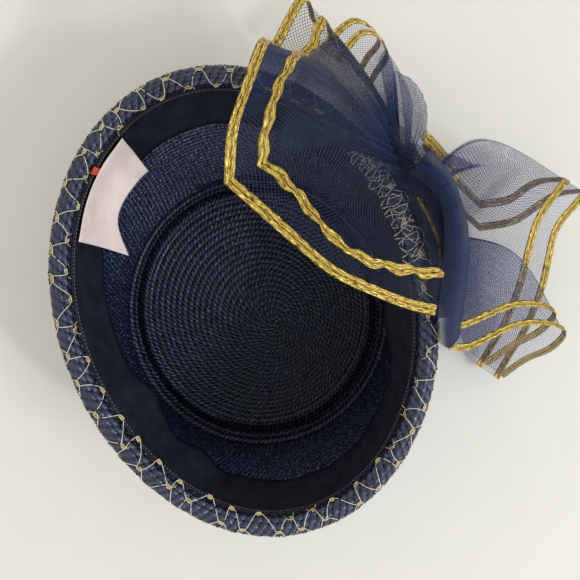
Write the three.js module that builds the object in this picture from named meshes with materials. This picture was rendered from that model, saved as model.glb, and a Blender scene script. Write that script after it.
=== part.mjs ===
// A woman's straw hat lying upside down on its crown tip, with a large sheer bow at its side.
// Millimetres, +Z up. The origin is the centre of the flat tip, on the surface that the hat lies on.
// Y runs along the length of the head oval and X across it.
import * as THREE from 'three';

// Wall of the crown
const STRAW_THICKNESS = 1.8;
const CROWN_TOP_Z = 85.8;
const RIM_HALF_WIDTH = 76;
const RIM_HALF_LENGTH = 98;
const RIM_CENTRE_Y = 5.7;
const BASE_HALF_WIDTH = 75;
const BASE_HALF_LENGTH = 77.5;
const BASE_CENTRE_Y = -1.8;
const BASE_Z = 6;
const WALL_MIDDLE_Z = 44;
const TIP_LENGTHENING = 1.05;
const RIM_FLAT_DEPTH = 2.2;
const RIM_FLAT_DEGREES = 212;

// Rolled edge, whose section is an ellipse
const ROLL_Z = 90;
const ROLL_HALF_WIDTH = 4.7;
const ROLL_HALF_HEIGHT = 5.2;

// Ribbon band inside the opening
const BAND_TOP_Z = 92.5;
const BAND_MIDDLE_Z = 78;
const BAND_THICKNESS = 1;
const BAND_MIDDLE_STANDS_OFF = 0.35;

// Net over the edge and the outer wall
const VEIL_THICKNESS = 1;
const VEIL_LOWEST_Z = 14;
const VEIL_UNDER_ROLL_Z = 72;

// Gap between neighbouring pieces
const GAP = 0.35;

// Bow of sheer ribbon edged with gold braid
const RIBBON_THICKNESS = 1;
const BRAID_WIDTH = 5;
const BRAID_THICKNESS = 1;
const BRAID_SPACING = 15;
const GATHERS_OUTWARD = 22;
const GATHERS_LOW_Z = 64;
const GATHERS_HIGH_Z = 94;
const GATHERS_ROUNDING = 2.5;
const GATHERS_UNDER_ROLL_Z = 71.3;

// Steps of the meshes
const STEPS_AROUND = 48;
const STEPS_PER_FOLD = 3;
const STEPS_ACROSS = 5;

const mix = (a, b, t) => a + (b - a) * t;

// Solids

function bodyFrom(vertices, triangles) {
  const geometry = new THREE.BufferGeometry();
  const positions = vertices.flatMap((p) => [p.x, p.y, p.z]);
  geometry.setAttribute('position', new THREE.Float32BufferAttribute(positions, 3));
  geometry.setIndex(triangles.flat());
  geometry.computeVertexNormals();
  return geometry;
}

// A body of revolution-like rings. pointAt(ring, angle) gives each point; rings run counterclockwise
// round the section as seen with +Z up and the axis on the left. A body with poles starts and ends on
// the axis, and one without them closes its section on itself.
function ringBody(ringCount, pointAt, poles = null) {
  const vertices = [];
  const triangles = [];
  for (let ring = 0; ring < ringCount; ring += 1) {
    for (let step = 0; step < STEPS_AROUND; step += 1) {
      vertices.push(pointAt(ring, (2 * Math.PI * step) / STEPS_AROUND));
    }
  }
  const at = (ring, step) => (ring % ringCount) * STEPS_AROUND + (step % STEPS_AROUND);
  const bands = poles ? ringCount - 1 : ringCount;
  for (let ring = 0; ring < bands; ring += 1) {
    for (let step = 0; step < STEPS_AROUND; step += 1) {
      triangles.push([at(ring, step), at(ring, step + 1), at(ring + 1, step + 1)]);
      triangles.push([at(ring, step), at(ring + 1, step + 1), at(ring + 1, step)]);
    }
  }
  if (poles) {
    const first = vertices.push(poles.first) - 1;
    const last = vertices.push(poles.last) - 1;
    for (let step = 0; step < STEPS_AROUND; step += 1) {
      triangles.push([first, at(0, step + 1), at(0, step)]);
      triangles.push([last, at(ringCount - 1, step), at(ringCount - 1, step + 1)]);
    }
  }
  return bodyFrom(vertices, triangles);
}

// A thin body on both sides of a surface. pointAt(i, j) and normalAt(i, j) give the middle surface.
function sheetBody(countAlong, countAcross, pointAt, normalAt, thickness) {
  const vertices = [];
  const triangles = [];
  for (const side of [1, -1]) {
    for (let i = 0; i <= countAlong; i += 1) {
      for (let j = 0; j <= countAcross; j += 1) {
        vertices.push(pointAt(i, j).clone().addScaledVector(normalAt(i, j), (side * thickness) / 2));
      }
    }
  }
  const layer = (countAlong + 1) * (countAcross + 1);
  const at = (i, j) => i * (countAcross + 1) + j;
  for (let i = 0; i < countAlong; i += 1) {
    for (let j = 0; j < countAcross; j += 1) {
      const [a, b, c, d] = [at(i, j), at(i + 1, j), at(i + 1, j + 1), at(i, j + 1)];
      triangles.push([a, b, c], [a, c, d]);
      triangles.push([layer + a, layer + c, layer + b], [layer + a, layer + d, layer + c]);
    }
  }
  const border = [];
  for (let i = 0; i < countAlong; i += 1) border.push(at(i, 0));
  for (let j = 0; j < countAcross; j += 1) border.push(at(countAlong, j));
  for (let i = countAlong; i > 0; i -= 1) border.push(at(i, countAcross));
  for (let j = countAcross; j > 0; j -= 1) border.push(at(0, j));
  border.forEach((from, k) => {
    const to = border[(k + 1) % border.length];
    triangles.push([from, layer + from, layer + to], [from, layer + to, to]);
  });
  return bodyFrom(vertices, triangles);
}

// Crown

// The inner side of the side wall as an oval at a height, from the crease up to the rim
function wallOval(z) {
  const share = THREE.MathUtils.clamp((z - BASE_Z) / (CROWN_TOP_Z - BASE_Z), 0, 1);
  return {
    halfWidth: mix(BASE_HALF_WIDTH, RIM_HALF_WIDTH, share),
    halfLength: mix(BASE_HALF_LENGTH, RIM_HALF_LENGTH, share),
    centreY: mix(BASE_CENTRE_Y, RIM_CENTRE_Y, share),
  };
}

// How much the oval is pressed in at one of its sides, from nothing at the base to most at the rim
function pressedIn(z, angle) {
  const share = THREE.MathUtils.clamp((z - BASE_Z) / (CROWN_TOP_Z - BASE_Z), 0, 1);
  const facing = Math.cos(angle - THREE.MathUtils.degToRad(RIM_FLAT_DEGREES));
  return RIM_FLAT_DEPTH * share * Math.max(facing, 0) ** 4;
}

// A point at an angle on the wall's inner side, moved outward by a distance
function wallPoint(z, angle, outward = 0) {
  const oval = wallOval(z);
  const moved = outward - pressedIn(z, angle);
  return new THREE.Vector3(
    (oval.halfWidth + moved) * Math.cos(angle),
    oval.centreY + (oval.halfLength + moved) * Math.sin(angle),
    z,
  );
}

// Half widths and heights of the tip, from the centre out to the crease
const TIP_INSIDE = [
  { halfWidth: 60, z: 1.8 },
  { halfWidth: 62.6, z: 4.4 },
  { halfWidth: 64.8, z: 6.2 },
  { halfWidth: 67, z: 4.6 },
  { halfWidth: 69.4, z: 2 },
  { halfWidth: 72.2, z: 1.9 },
];
const TIP_OUTSIDE = [
  { halfWidth: 61.2, z: 0 },
  { halfWidth: 63.6, z: 2.6 },
  { halfWidth: 64.8, z: 3.6 },
  { halfWidth: 66, z: 2.6 },
  { halfWidth: 68.6, z: 0 },
  { halfWidth: 73.2, z: 0 },
];
const CREASE_CORNER_OUT = 1.1;
const CREASE_CORNER_Z = 1;

function crown() {
  const tipPoint = (row, angle) => {
    const edge = row.halfWidth / BASE_HALF_WIDTH;
    const lengthening = mix(TIP_LENGTHENING, BASE_HALF_LENGTH / BASE_HALF_WIDTH, edge ** 6);
    const centreY = BASE_CENTRE_Y * edge ** 8;
    return new THREE.Vector3(
      row.halfWidth * Math.cos(angle),
      centreY + row.halfWidth * lengthening * Math.sin(angle),
      row.z,
    );
  };
  const outside = TIP_OUTSIDE.map((row) => (angle) => tipPoint(row, angle));
  outside.push((angle) => {
    const corner = wallPoint(BASE_Z, angle, CREASE_CORNER_OUT);
    corner.z = CREASE_CORNER_Z;
    return corner;
  });
  const wallHeights = [BASE_Z, WALL_MIDDLE_Z, CROWN_TOP_Z];
  for (const z of wallHeights) outside.push((angle) => wallPoint(z, angle, STRAW_THICKNESS));
  const inside = TIP_INSIDE.map((row) => (angle) => tipPoint(row, angle));
  for (const z of wallHeights) inside.push((angle) => wallPoint(z, angle));
  const rings = [...outside, ...inside.reverse()];
  return ringBody(rings.length, (ring, angle) => rings[ring](angle), {
    first: new THREE.Vector3(0, 0, 0),
    last: new THREE.Vector3(0, 0, STRAW_THICKNESS),
  });
}

// The rolled edge is centred this far outside the wall's inner side
const ROLL_OUTWARD = ROLL_HALF_WIDTH + 0.2;

function rollPoint(turn, angle, proud = 0) {
  const outward = ROLL_OUTWARD + (ROLL_HALF_WIDTH + proud) * Math.cos(turn);
  const point = wallPoint(CROWN_TOP_Z, angle, outward);
  point.z = ROLL_Z + (ROLL_HALF_HEIGHT + proud) * Math.sin(turn);
  return point;
}

function edgeRoll() {
  const sides = 8;
  return ringBody(sides, (ring, angle) => rollPoint((2 * Math.PI * ring) / sides, angle));
}

// Sweatband and label

// How far the band's lower edge stands off the wall, and how high that edge is, at each angle
const BAND_FOLDS = [
  { degrees: 0, standsOff: 5, z: 61 },
  { degrees: 20, standsOff: 1.5, z: 61 },
  { degrees: 60, standsOff: 1.2, z: 63 },
  { degrees: 100, standsOff: 1.2, z: 64 },
  { degrees: 140, standsOff: 2, z: 62 },
  { degrees: 166, standsOff: 5.5, z: 61 },
  { degrees: 184, standsOff: 7.5, z: 61 },
  { degrees: 202, standsOff: 12, z: 62 },
  { degrees: 219, standsOff: 6, z: 61 },
  { degrees: 229, standsOff: 8, z: 61 },
  { degrees: 243, standsOff: 2.5, z: 60 },
  { degrees: 290, standsOff: 1.5, z: 61 },
  { degrees: 325, standsOff: 4, z: 61 },
  { degrees: 342, standsOff: 10, z: 62 },
];

function bandFold(angle) {
  const degrees = THREE.MathUtils.euclideanModulo(THREE.MathUtils.radToDeg(angle), 360);
  const last = BAND_FOLDS[BAND_FOLDS.length - 1];
  const rows = [
    { ...last, degrees: last.degrees - 360 },
    ...BAND_FOLDS,
    { ...BAND_FOLDS[0], degrees: BAND_FOLDS[0].degrees + 360 },
  ];
  const k = rows.findIndex((row, i) => i > 0 && row.degrees > degrees);
  const [from, to] = [rows[k - 1], rows[k]];
  const share = (degrees - from.degrees) / (to.degrees - from.degrees);
  const eased = share * share * (3 - 2 * share);
  return { standsOff: mix(from.standsOff, to.standsOff, eased), z: mix(from.z, to.z, eased) };
}

// Rows down the band: the share of its stand-off, with the outer side first and the inner side after it
function sweatband() {
  const inwardAt = (level, fold) => [GAP, GAP + fold.standsOff * BAND_MIDDLE_STANDS_OFF, GAP + fold.standsOff][level];
  const heightAt = (level, fold) => [BAND_TOP_Z, BAND_MIDDLE_Z, fold.z][level];
  const rings = [
    { level: 2, inside: 0 },
    { level: 1, inside: 0 },
    { level: 0, inside: 0 },
    { level: 0, inside: 1 },
    { level: 1, inside: 1 },
    { level: 2, inside: 1 },
  ];
  return ringBody(rings.length, (ring, angle) => {
    const { level, inside } = rings[ring];
    const fold = bandFold(angle);
    const z = heightAt(level, fold);
    return wallPoint(z, angle, -(inwardAt(level, fold) + inside * BAND_THICKNESS));
  });
}

// The label's sewn edge lies on the band, and its free edge curls away from it
const LABEL_THICKNESS = 1;
const LABEL_MIDDLE_UP = 0.45;
const LABEL_MIDDLE_INWARD = 0.42;
const LABEL_FOLDS = [
  { degrees: 115.5, topZ: 91, freeDegrees: 115.4, freeInward: 12, freeZ: 71 },
  { degrees: 128, topZ: 91, freeDegrees: 124, freeInward: 11.5, freeZ: 73 },
  { degrees: 139, topZ: 91, freeDegrees: 137, freeInward: 11, freeZ: 73 },
  { degrees: 150.5, topZ: 91, freeDegrees: 148.5, freeInward: 18, freeZ: 66 },
];

// A curve through points, smooth except where a point is a corner
class FoldedCurve {
  constructor(points, corners) {
    this.last = points.length - 1;
    this.ends = [0, ...corners, this.last];
    this.runs = this.ends.slice(1).map((end, k) => {
      return new THREE.CatmullRomCurve3(points.slice(this.ends[k], end + 1), false, 'centripetal');
    });
  }

  getPoint(share) {
    const place = share * this.last;
    const k = Math.max(0, this.ends.findIndex((end) => end >= place) - 1);
    return this.runs[k].getPoint((place - this.ends[k]) / (this.ends[k + 1] - this.ends[k]));
  }
}

// A sheet lofted across its folds: each fold is a row with an edge point, a middle point and a root
// point, and the surface runs smoothly from row to row, except at a corner, and from edge to root.
// The edge point is the middle of the edge braid, so the sheet reaches half a braid past it.
class Loft {
  constructor(folds, facing) {
    this.facing = facing;
    this.folds = folds;
    const corners = folds.flatMap((fold, k) => (fold.corner ? [k] : []));
    const curveOf = (place) => new FoldedCurve(folds.map(place), corners);
    this.edge = curveOf((fold) => {
      const edge = new THREE.Vector3(...fold.edge);
      const outward = edge.clone().sub(new THREE.Vector3(...fold.middle)).normalize();
      return edge.addScaledVector(outward, fold.hem ?? BRAID_WIDTH / 2);
    });
    this.middle = curveOf((fold) => new THREE.Vector3(...fold.middle));
    this.root = curveOf((fold) => new THREE.Vector3(...fold.root));
    this.steps = (folds.length - 1) * STEPS_PER_FOLD;
  }

  // How far the inner braid is from the edge, narrower where the ribbon is pinched
  spacing(share) {
    const place = share * (this.folds.length - 1);
    const k = Math.min(Math.floor(place), this.folds.length - 2);
    const at = (i) => this.folds[i].spacing ?? BRAID_SPACING;
    return mix(at(k), at(k + 1), place - k);
  }

  rib(share) {
    const points = [this.edge, this.middle, this.root].map((curve) => curve.getPoint(share));
    return new THREE.CatmullRomCurve3(points, false, 'centripetal');
  }

  point(share, across) {
    return this.rib(THREE.MathUtils.clamp(share, 0, 1)).getPoint(THREE.MathUtils.clamp(across, 0, 1));
  }

  normal(share, across) {
    const small = 0.004;
    const along = this.point(share + small, across).sub(this.point(share - small, across));
    const inward = this.point(share, across + small).sub(this.point(share, across - small));
    return along.cross(inward).normalize();
  }

  // The share of the way across at which a rib is a distance from its edge
  acrossAt(share, distance) {
    const rib = this.rib(share);
    rib.arcLengthDivisions = 60;
    return rib.getUtoTmapping(0, distance);
  }

  body(stepsAcross = STEPS_ACROSS) {
    return sheetBody(
      this.steps,
      stepsAcross,
      (i, j) => this.point(i / this.steps, j / stepsAcross),
      (i, j) => this.normal(i / this.steps, j / stepsAcross),
      RIBBON_THICKNESS,
    );
  }

  // A strip of braid that lies on the sheet, at a distance inside its edge
  braid(distanceAt) {
    const lift = this.facing * (RIBBON_THICKNESS / 2 + GAP + BRAID_THICKNESS / 2);
    const onSheet = (i, j) => {
      const share = i / this.steps;
      const across = this.acrossAt(share, distanceAt(share) + j * BRAID_WIDTH);
      return { middle: this.point(share, across), normal: this.normal(share, across) };
    };
    const pointAt = (i, j) => {
      const { middle, normal } = onSheet(i, j);
      return middle.addScaledVector(normal, lift);
    };
    return sheetBody(this.steps, 1, pointAt, (i, j) => onSheet(i, j).normal, BRAID_THICKNESS);
  }
}

function label() {
  const inwardOfBand = (z, angle) => {
    const fold = bandFold(angle);
    const down = (BAND_TOP_Z - z) / (BAND_TOP_Z - fold.z);
    return 2 * GAP + BAND_THICKNESS + LABEL_THICKNESS / 2 + fold.standsOff * down;
  };
  const rows = LABEL_FOLDS.map((fold) => {
    const topAngle = THREE.MathUtils.degToRad(fold.degrees);
    const freeAngle = THREE.MathUtils.degToRad(fold.freeDegrees);
    const middleAngle = (topAngle + freeAngle) / 2;
    const middleZ = mix(fold.freeZ, fold.topZ, LABEL_MIDDLE_UP);
    const edge = wallPoint(fold.freeZ, freeAngle, -fold.freeInward);
    const middle = wallPoint(middleZ, middleAngle, -fold.freeInward * LABEL_MIDDLE_INWARD - LABEL_THICKNESS);
    const root = wallPoint(fold.topZ, topAngle, -inwardOfBand(fold.topZ, topAngle) - GAP);
    return { edge: edge.toArray(), middle: middle.toArray(), root: root.toArray(), hem: 0 };
  });
  return new Loft(rows, 1).body(4);
}

// Veil

function veil() {
  const degrees = [150, 115, 80, 45, 10, -30, -62];
  const turns = degrees.map((value) => THREE.MathUtils.degToRad(value));
  const wallHeights = [VEIL_UNDER_ROLL_Z, WALL_MIDDLE_Z, VEIL_LOWEST_Z];
  const rings = [];
  const addSide = (proud, order) => {
    const side = turns.map((turn) => (angle) => rollPoint(turn, angle, proud));
    for (const z of wallHeights) side.push((angle) => wallPoint(z, angle, STRAW_THICKNESS + proud));
    rings.push(...(order < 0 ? side.reverse() : side));
  };
  addSide(GAP, 1);
  addSide(GAP + VEIL_THICKNESS, -1);
  return ringBody(rings.length, (ring, angle) => rings[ring](angle));
}

// Bow

// Where the side of the hat is, this far outside the opening, for a place along the hat's length
function besideRim(y, outward) {
  const across = (y - RIM_CENTRE_Y) / (RIM_HALF_LENGTH + outward);
  return (RIM_HALF_WIDTH + outward) * Math.sqrt(1 - across ** 2);
}

const CLEAR = GAP + RIBBON_THICKNESS / 2;
const onFace = (y, z) => [besideRim(y, GATHERS_OUTWARD) + CLEAR, y, z];
const onTop = (y, outward = 17) => [besideRim(y, outward), y, GATHERS_HIGH_Z + CLEAR];

// The front loop comes out of the gathers, over the rolled edge and the opening, turns its corner,
// drops behind and goes back to the gathers underneath
const FLAP_FOLDS = [
  { edge: [77.5, -20.7, 112], middle: [86, -5, 112], root: onTop(2) },
  { edge: [66.5, -14.5, 116], middle: [74, 8, 117], root: onTop(10), spacing: 14 },
  { edge: [51.5, -3, 122], middle: [60, 21, 122], root: onTop(18), spacing: 11 },
  { edge: [40, 7.5, 126], middle: [52, 32, 126], root: onTop(25), spacing: 12.5 },
  { edge: [27.5, 26, 130], middle: [45, 43, 127], root: onTop(32), spacing: 14 },
  { edge: [11, 51.5, 136], middle: [45, 57.5, 127], root: onTop(40), corner: true },
  { edge: [18, 68.5, 141], middle: [50, 70, 129], root: onTop(46) },
  { edge: [27, 82, 140], middle: [55, 80, 125], root: onTop(51) },
  { edge: [38, 98.5, 134], middle: [61, 86, 116], root: onTop(55, 15) },
  { edge: [43.5, 109, 100], middle: [66, 94, 98], root: onTop(60, 16) },
  { edge: [47, 114, 86], middle: [71, 97, 89], root: onTop(61, 20.5) },
  { edge: [67, 135, 76], middle: [81, 97, 84], root: onFace(60, 92.5) },
  { edge: [70, 128, 62], middle: [84, 92, 70], root: onFace(59, 86) },
];

// The full folds over the gathers, from their free edge to where they tuck under
const PUFF_FOLDS = [
  { edge: [83, 49, 107], middle: [95, 52, 100], root: onFace(49, 88), hem: 0 },
  { edge: [83, 38, 109], middle: [101, 36, 103], root: onFace(36, 88), hem: 0 },
  { edge: [86, 21, 110], middle: [103.5, 17, 104], root: onFace(19, 88), hem: 0 },
  { edge: [87, 3, 114], middle: [102.5, 3, 105], root: onFace(2, 88), hem: 0 },
  { edge: [82, -14, 116], middle: [98, -15, 103], root: onFace(-13, 88), hem: 0 },
  { edge: [76.5, -28, 106], middle: [91, -34, 99], root: onFace(-24, 87), hem: 0 },
];

const TOP_FOLDS = [
  { edge: [72, 117, 52], middle: [86, 92, 63], root: onFace(58, 80), spacing: 11 },
  { edge: [83, 124.5, 50], middle: [91, 97, 64], root: onFace(57, 78), spacing: 11 },
  { edge: [93, 128.5, 46], middle: [97, 102, 62], root: onFace(56, 76), spacing: 11 },
  { edge: [100, 125, 42], middle: [102, 103, 58], root: onFace(55, 74), spacing: 11 },
  { edge: [104, 118, 36], middle: [104, 98, 49], root: onFace(54, 71), spacing: 12 },
  { edge: [97.5, 114, 29], middle: [100, 91, 43], root: onFace(54, 68), spacing: 12 },
  { edge: [90, 107, 26], middle: [94, 85, 42], root: onFace(55, 66), spacing: 12 },
];

const ROUND_FOLDS = [
  { edge: [100, 83, 40], middle: [105.5, 93, 54], root: onFace(51, 84), hem: 0 },
  { edge: [103, 79, 39], middle: [110.5, 88, 56], root: onFace(49.5, 82.5), hem: 0 },
  { edge: [105, 74, 39], middle: [112.5, 80, 58], root: onFace(48, 81), hem: 0 },
  { edge: [105, 68, 41], middle: [112, 70, 60], root: onFace(46.5, 80), hem: 0 },
  { edge: [104, 61, 45], middle: [107.5, 60, 64], root: onFace(45, 79), hem: 0 },
];

const RIGHT_FOLDS = [
  { edge: [103, 48, 36], middle: [113, 60, 47], root: onFace(42, 66), spacing: 7 },
  { edge: [120, 26, 24], middle: [122, 48, 46], root: onFace(40, 66), spacing: 8 },
  { edge: [133, 8, 18], middle: [134, 39, 40], root: onFace(38, 66.5), spacing: 8, corner: true },
  { edge: [152, 6, 20], middle: [144, 35, 40], root: onFace(36, 67.5), spacing: 14 },
  { edge: [176, 13, 25], middle: [146, 37, 45], root: onFace(35, 69) },
  { edge: [188, 10, 33], middle: [133, 49, 61], root: onFace(36, 72) },
  { edge: [181, 7.5, 42], middle: [127, 47, 72], root: onFace(33, 76) },
  { edge: [163, -4.5, 44], middle: [130, 17, 66], root: onFace(26, 75) },
  { edge: [155.5, -18.5, 42], middle: [128, -1, 58], root: onFace(18, 73) },
  { edge: [150.5, -32.5, 35], middle: [124, -16, 50], root: onFace(10, 71) },
  { edge: [139, -53, 24], middle: [115, -33, 40], root: onFace(0, 69) },
  { edge: [129, -65, 17], middle: [108, -44, 34], root: onFace(-11, 67) },
  { edge: [119, -76, 14], middle: [101, -53, 30], root: onFace(-23, 66) },
];

const LOW_FOLDS = [
  { edge: [121, -75, 19], middle: [103, -51, 36], root: onFace(-22, 69.5) },
  { edge: [135, -69, 24], middle: [116, -40, 46], root: onFace(-12, 73) },
  { edge: [148, -66, 29], middle: [128, -28, 54], root: onFace(-2, 76) },
  { edge: [154.5, -59, 37], middle: [131, -9, 67], root: onFace(10, 79) },
  { edge: [147.5, -51, 46], middle: [126, -8, 73], root: onFace(7, 82.5) },
  { edge: [130, -45, 52], middle: [116, -17, 73], root: onFace(-2, 84) },
  { edge: [118.5, -45, 55], middle: [109, -23, 73], root: onFace(-9, 84) },
  { edge: [98, -47.5, 58], middle: [100, -31, 70], root: onFace(-18, 83) },
  { edge: [89.5, -44.5, 60], middle: [93, -36, 70], root: onFace(-24, 82) },
];

// The heading of the ribbon, bunched up and sewn to the wall below and beside the rolled edge
const GATHERS_FROM = -14;
const GATHERS_TO = 27.5;
const GATHERS_STEPS = 18;

function gathersSection(angle) {
  const besideRoll = 2 * ROLL_HALF_WIDTH + VEIL_THICKNESS + 3 * GAP;
  const besideWall = STRAW_THICKNESS + VEIL_THICKNESS + 3 * GAP;
  const rounded = GATHERS_OUTWARD - GATHERS_ROUNDING;
  const rows = [
    { outward: besideWall, z: GATHERS_LOW_Z },
    { outward: rounded, z: GATHERS_LOW_Z },
    { outward: GATHERS_OUTWARD, z: GATHERS_LOW_Z + GATHERS_ROUNDING },
    { outward: GATHERS_OUTWARD, z: GATHERS_HIGH_Z - GATHERS_ROUNDING },
    { outward: rounded, z: GATHERS_HIGH_Z },
    { outward: besideRoll, z: GATHERS_HIGH_Z },
    { outward: besideRoll, z: ROLL_Z - ROLL_HALF_HEIGHT },
    { outward: besideWall, z: GATHERS_UNDER_ROLL_Z },
  ];
  return rows.map(({ outward, z }) => {
    const point = wallPoint(CROWN_TOP_Z, angle, outward);
    const leaning = wallPoint(z, angle, outward);
    const share = (outward - besideWall) / (besideRoll - besideWall);
    return leaning.lerp(point, Math.min(share, 1)).setZ(z);
  });
}

function gathers() {
  const vertices = [];
  const triangles = [];
  for (let i = 0; i <= GATHERS_STEPS; i += 1) {
    const degrees = mix(GATHERS_FROM, GATHERS_TO, i / GATHERS_STEPS);
    vertices.push(...gathersSection(THREE.MathUtils.degToRad(degrees)));
  }
  const count = vertices.length / (GATHERS_STEPS + 1);
  for (let i = 0; i < GATHERS_STEPS; i += 1) {
    for (let k = 0; k < count; k += 1) {
      const [a, b] = [i * count + k, i * count + ((k + 1) % count)];
      triangles.push([a, b + count, b], [a, a + count, b + count]);
    }
  }
  const last = GATHERS_STEPS * count;
  const caps = [[0, 1, 7], [1, 2, 7], [2, 6, 7], [2, 3, 6], [3, 5, 6], [3, 4, 5]];
  for (const [a, b, c] of caps) {
    triangles.push([a, b, c], [last + a, last + c, last + b]);
  }
  return bodyFrom(vertices, triangles);
}

// Assembly

const hat = new THREE.Group();

function addPiece(name, geometry, colour, roughness, metalness = 0) {
  const material = new THREE.MeshStandardMaterial({ color: colour, roughness, metalness });
  const mesh = new THREE.Mesh(geometry, material);
  mesh.name = name;
  hat.add(mesh);
}

const NAVY_STRAW = 0x0d1024;
const GREY_BLACK_RIBBON = 0x22222b;
const WHITE_SATIN = 0xe9e6e2;
const GOLD_THREAD = 0xd8c9a0;
const NAVY_MESH = 0x26345f;
const GOLD_BRAID = 0xcda536;

addPiece('crown', crown(), NAVY_STRAW, 0.35);
addPiece('edge_roll', edgeRoll(), NAVY_STRAW, 0.3);
addPiece('sweatband', sweatband(), GREY_BLACK_RIBBON, 0.8);
addPiece('label', label(), WHITE_SATIN, 0.5);
addPiece('veil', veil(), GOLD_THREAD, 0.6);
addPiece('bow_gathers', gathers(), NAVY_MESH, 0.7);

// Each loop of the bow, the side of it that its braid is sewn to, and whether braid shows on it
const LOOPS = [
  { name: 'flap', folds: FLAP_FOLDS, facing: -1, braided: true },
  { name: 'puff', folds: PUFF_FOLDS, facing: -1, braided: false },
  { name: 'loop_top', folds: TOP_FOLDS, facing: -1, braided: true },
  { name: 'loop_round', folds: ROUND_FOLDS, facing: -1, braided: false },
  { name: 'loop_right', folds: RIGHT_FOLDS, facing: 1, braided: true },
  { name: 'loop_low', folds: LOW_FOLDS, facing: 1, braided: true },
];

for (const { name, folds, facing, braided } of LOOPS) {
  const loft = new Loft(folds, facing);
  addPiece(`bow_${name}`, loft.body(), NAVY_MESH, 0.7);
  if (braided) {
    addPiece(`braid_${name}_edge`, loft.braid(() => 0), GOLD_BRAID, 0.4, 0.7);
    addPiece(`braid_${name}_inner`, loft.braid((share) => loft.spacing(share)), GOLD_BRAID, 0.4, 0.7);
  }
}

export default hat;
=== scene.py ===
"""Looks of an upturned straw hat with gold veiling and a large sheer bow.

Each piece has an operator of its own, and the sizes and colours are in property groups.
Shapes are worked out in millimetres and turned into metres when a mesh is made.
"""

import math
import random

import bpy
import numpy as np
from bpy.props import FloatProperty, FloatVectorProperty, IntProperty, PointerProperty
from mathutils import Euler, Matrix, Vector


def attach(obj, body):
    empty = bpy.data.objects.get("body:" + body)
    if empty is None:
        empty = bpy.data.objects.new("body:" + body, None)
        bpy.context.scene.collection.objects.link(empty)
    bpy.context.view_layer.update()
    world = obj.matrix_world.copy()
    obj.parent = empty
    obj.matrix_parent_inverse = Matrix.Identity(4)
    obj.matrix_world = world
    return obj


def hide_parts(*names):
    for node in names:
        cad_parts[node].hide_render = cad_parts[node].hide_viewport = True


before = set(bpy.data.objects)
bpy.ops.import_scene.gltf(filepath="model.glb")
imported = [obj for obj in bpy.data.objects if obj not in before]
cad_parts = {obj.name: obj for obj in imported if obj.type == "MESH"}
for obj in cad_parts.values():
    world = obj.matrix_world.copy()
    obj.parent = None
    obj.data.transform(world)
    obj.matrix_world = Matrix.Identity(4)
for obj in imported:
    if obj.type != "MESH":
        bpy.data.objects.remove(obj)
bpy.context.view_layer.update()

bl_info = {
    "name": "Upturned straw hat with a sheer bow",
    "version": (1, 0, 0),
    "blender": (4, 5, 0),
    "location": "View3D > Sidebar > Hat",
    "description": "Makes a sewn straw hat with net veiling and a mesh bow edged with braid",
    "category": "Add Mesh",
}

MM = 0.001
TAU = 2 * math.pi

# Crown, in millimetres
STRAW_THICKNESS = 1.8
CROWN_TOP_Z = 85.8
RIM_HALF_WIDTH = 76.0
RIM_HALF_LENGTH = 98.0
RIM_CENTRE_Y = 5.7
BASE_HALF_WIDTH = 75.0
BASE_HALF_LENGTH = 77.5
BASE_CENTRE_Y = -1.8
BASE_Z = 6.0
TIP_LENGTHENING = 1.05
RIM_FLAT_DEPTH = 2.2
RIM_FLAT_DEGREES = 212.0

# Rolled edge
ROLL_Z = 90.0
ROLL_HALF_WIDTH = 4.7
ROLL_HALF_HEIGHT = 5.2
ROLL_OUTWARD = ROLL_HALF_WIDTH + 0.2
EDGE_PROUD = -0.25
EDGE_DASHES = 136
EDGE_ROW_STAGGER = 0.37

# Band
BAND_TOP_Z = 92.5
BAND_MIDDLE_Z = 78.0
BAND_THICKNESS = 1.0
BAND_WEB = 0.4
BAND_MIDDLE_STANDS_OFF = 0.35
BAND_LENGTH = 540.0
BAND_WIDTH = 31.0
BAND_RIPPLE = 0.35
BAND_STEPS = 360
BAND_DOWNS = [0.0, 0.06, 0.15, 0.27, 0.4, 0.52, 0.64, 0.76, 0.88, 1.0]
STITCH_COUNT = 330
STITCH_DOWN = 0.06
STITCH_RADIUS = 0.2
GAP = 0.35

# Bow
BRAID_WIDTH = 5.0
BRAID_SPACING = 15.0
GATHERS_OUTWARD = 22.0
GATHERS_LOW_Z = 64.0
GATHERS_HIGH_Z = 94.0
GATHERS_FROM_DEGREES = -14.0
GATHERS_TO_DEGREES = 27.5


# Sizes and colours


def length_property(name, text, default, low, high):
    return FloatProperty(
        name=name, description=text, default=default, min=low, max=high, unit="LENGTH", subtype="DISTANCE"
    )


def colour_property(name, text, default):
    return FloatVectorProperty(
        name=name, description=text, default=default, size=3, min=0.0, max=1.0, subtype="COLOR"
    )


class HatSizes(bpy.types.PropertyGroup):
    row_pitch: length_property("Row pitch", "Distance between two rows of sewn straw", 0.00275, 0.001, 0.01)
    dash_pitch: length_property("Plait pitch", "Length of one crossing in the plait", 0.0026, 0.001, 0.01)
    roll_row_pitch: length_property("Edge pitch", "Distance between rows on the edge", 0.0039, 0.001, 0.01)
    net_cell: length_property("Net cell", "Distance between knots along the edge", 0.0138, 0.005, 0.05)
    net_row: length_property("Net row", "Distance between staggered rows of knots", 0.0088, 0.003, 0.05)
    net_thread: length_property("Net thread", "Radius of the net's thread", 0.00017, 0.0001, 0.002)
    mesh_cell: length_property("Mesh cell", "Size of one opening in the sheer ribbon", 0.0011, 0.0003, 0.005)
    net_seed: IntProperty(name="Net seed", description="Start of the net's random draws", default=7, min=0)


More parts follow.
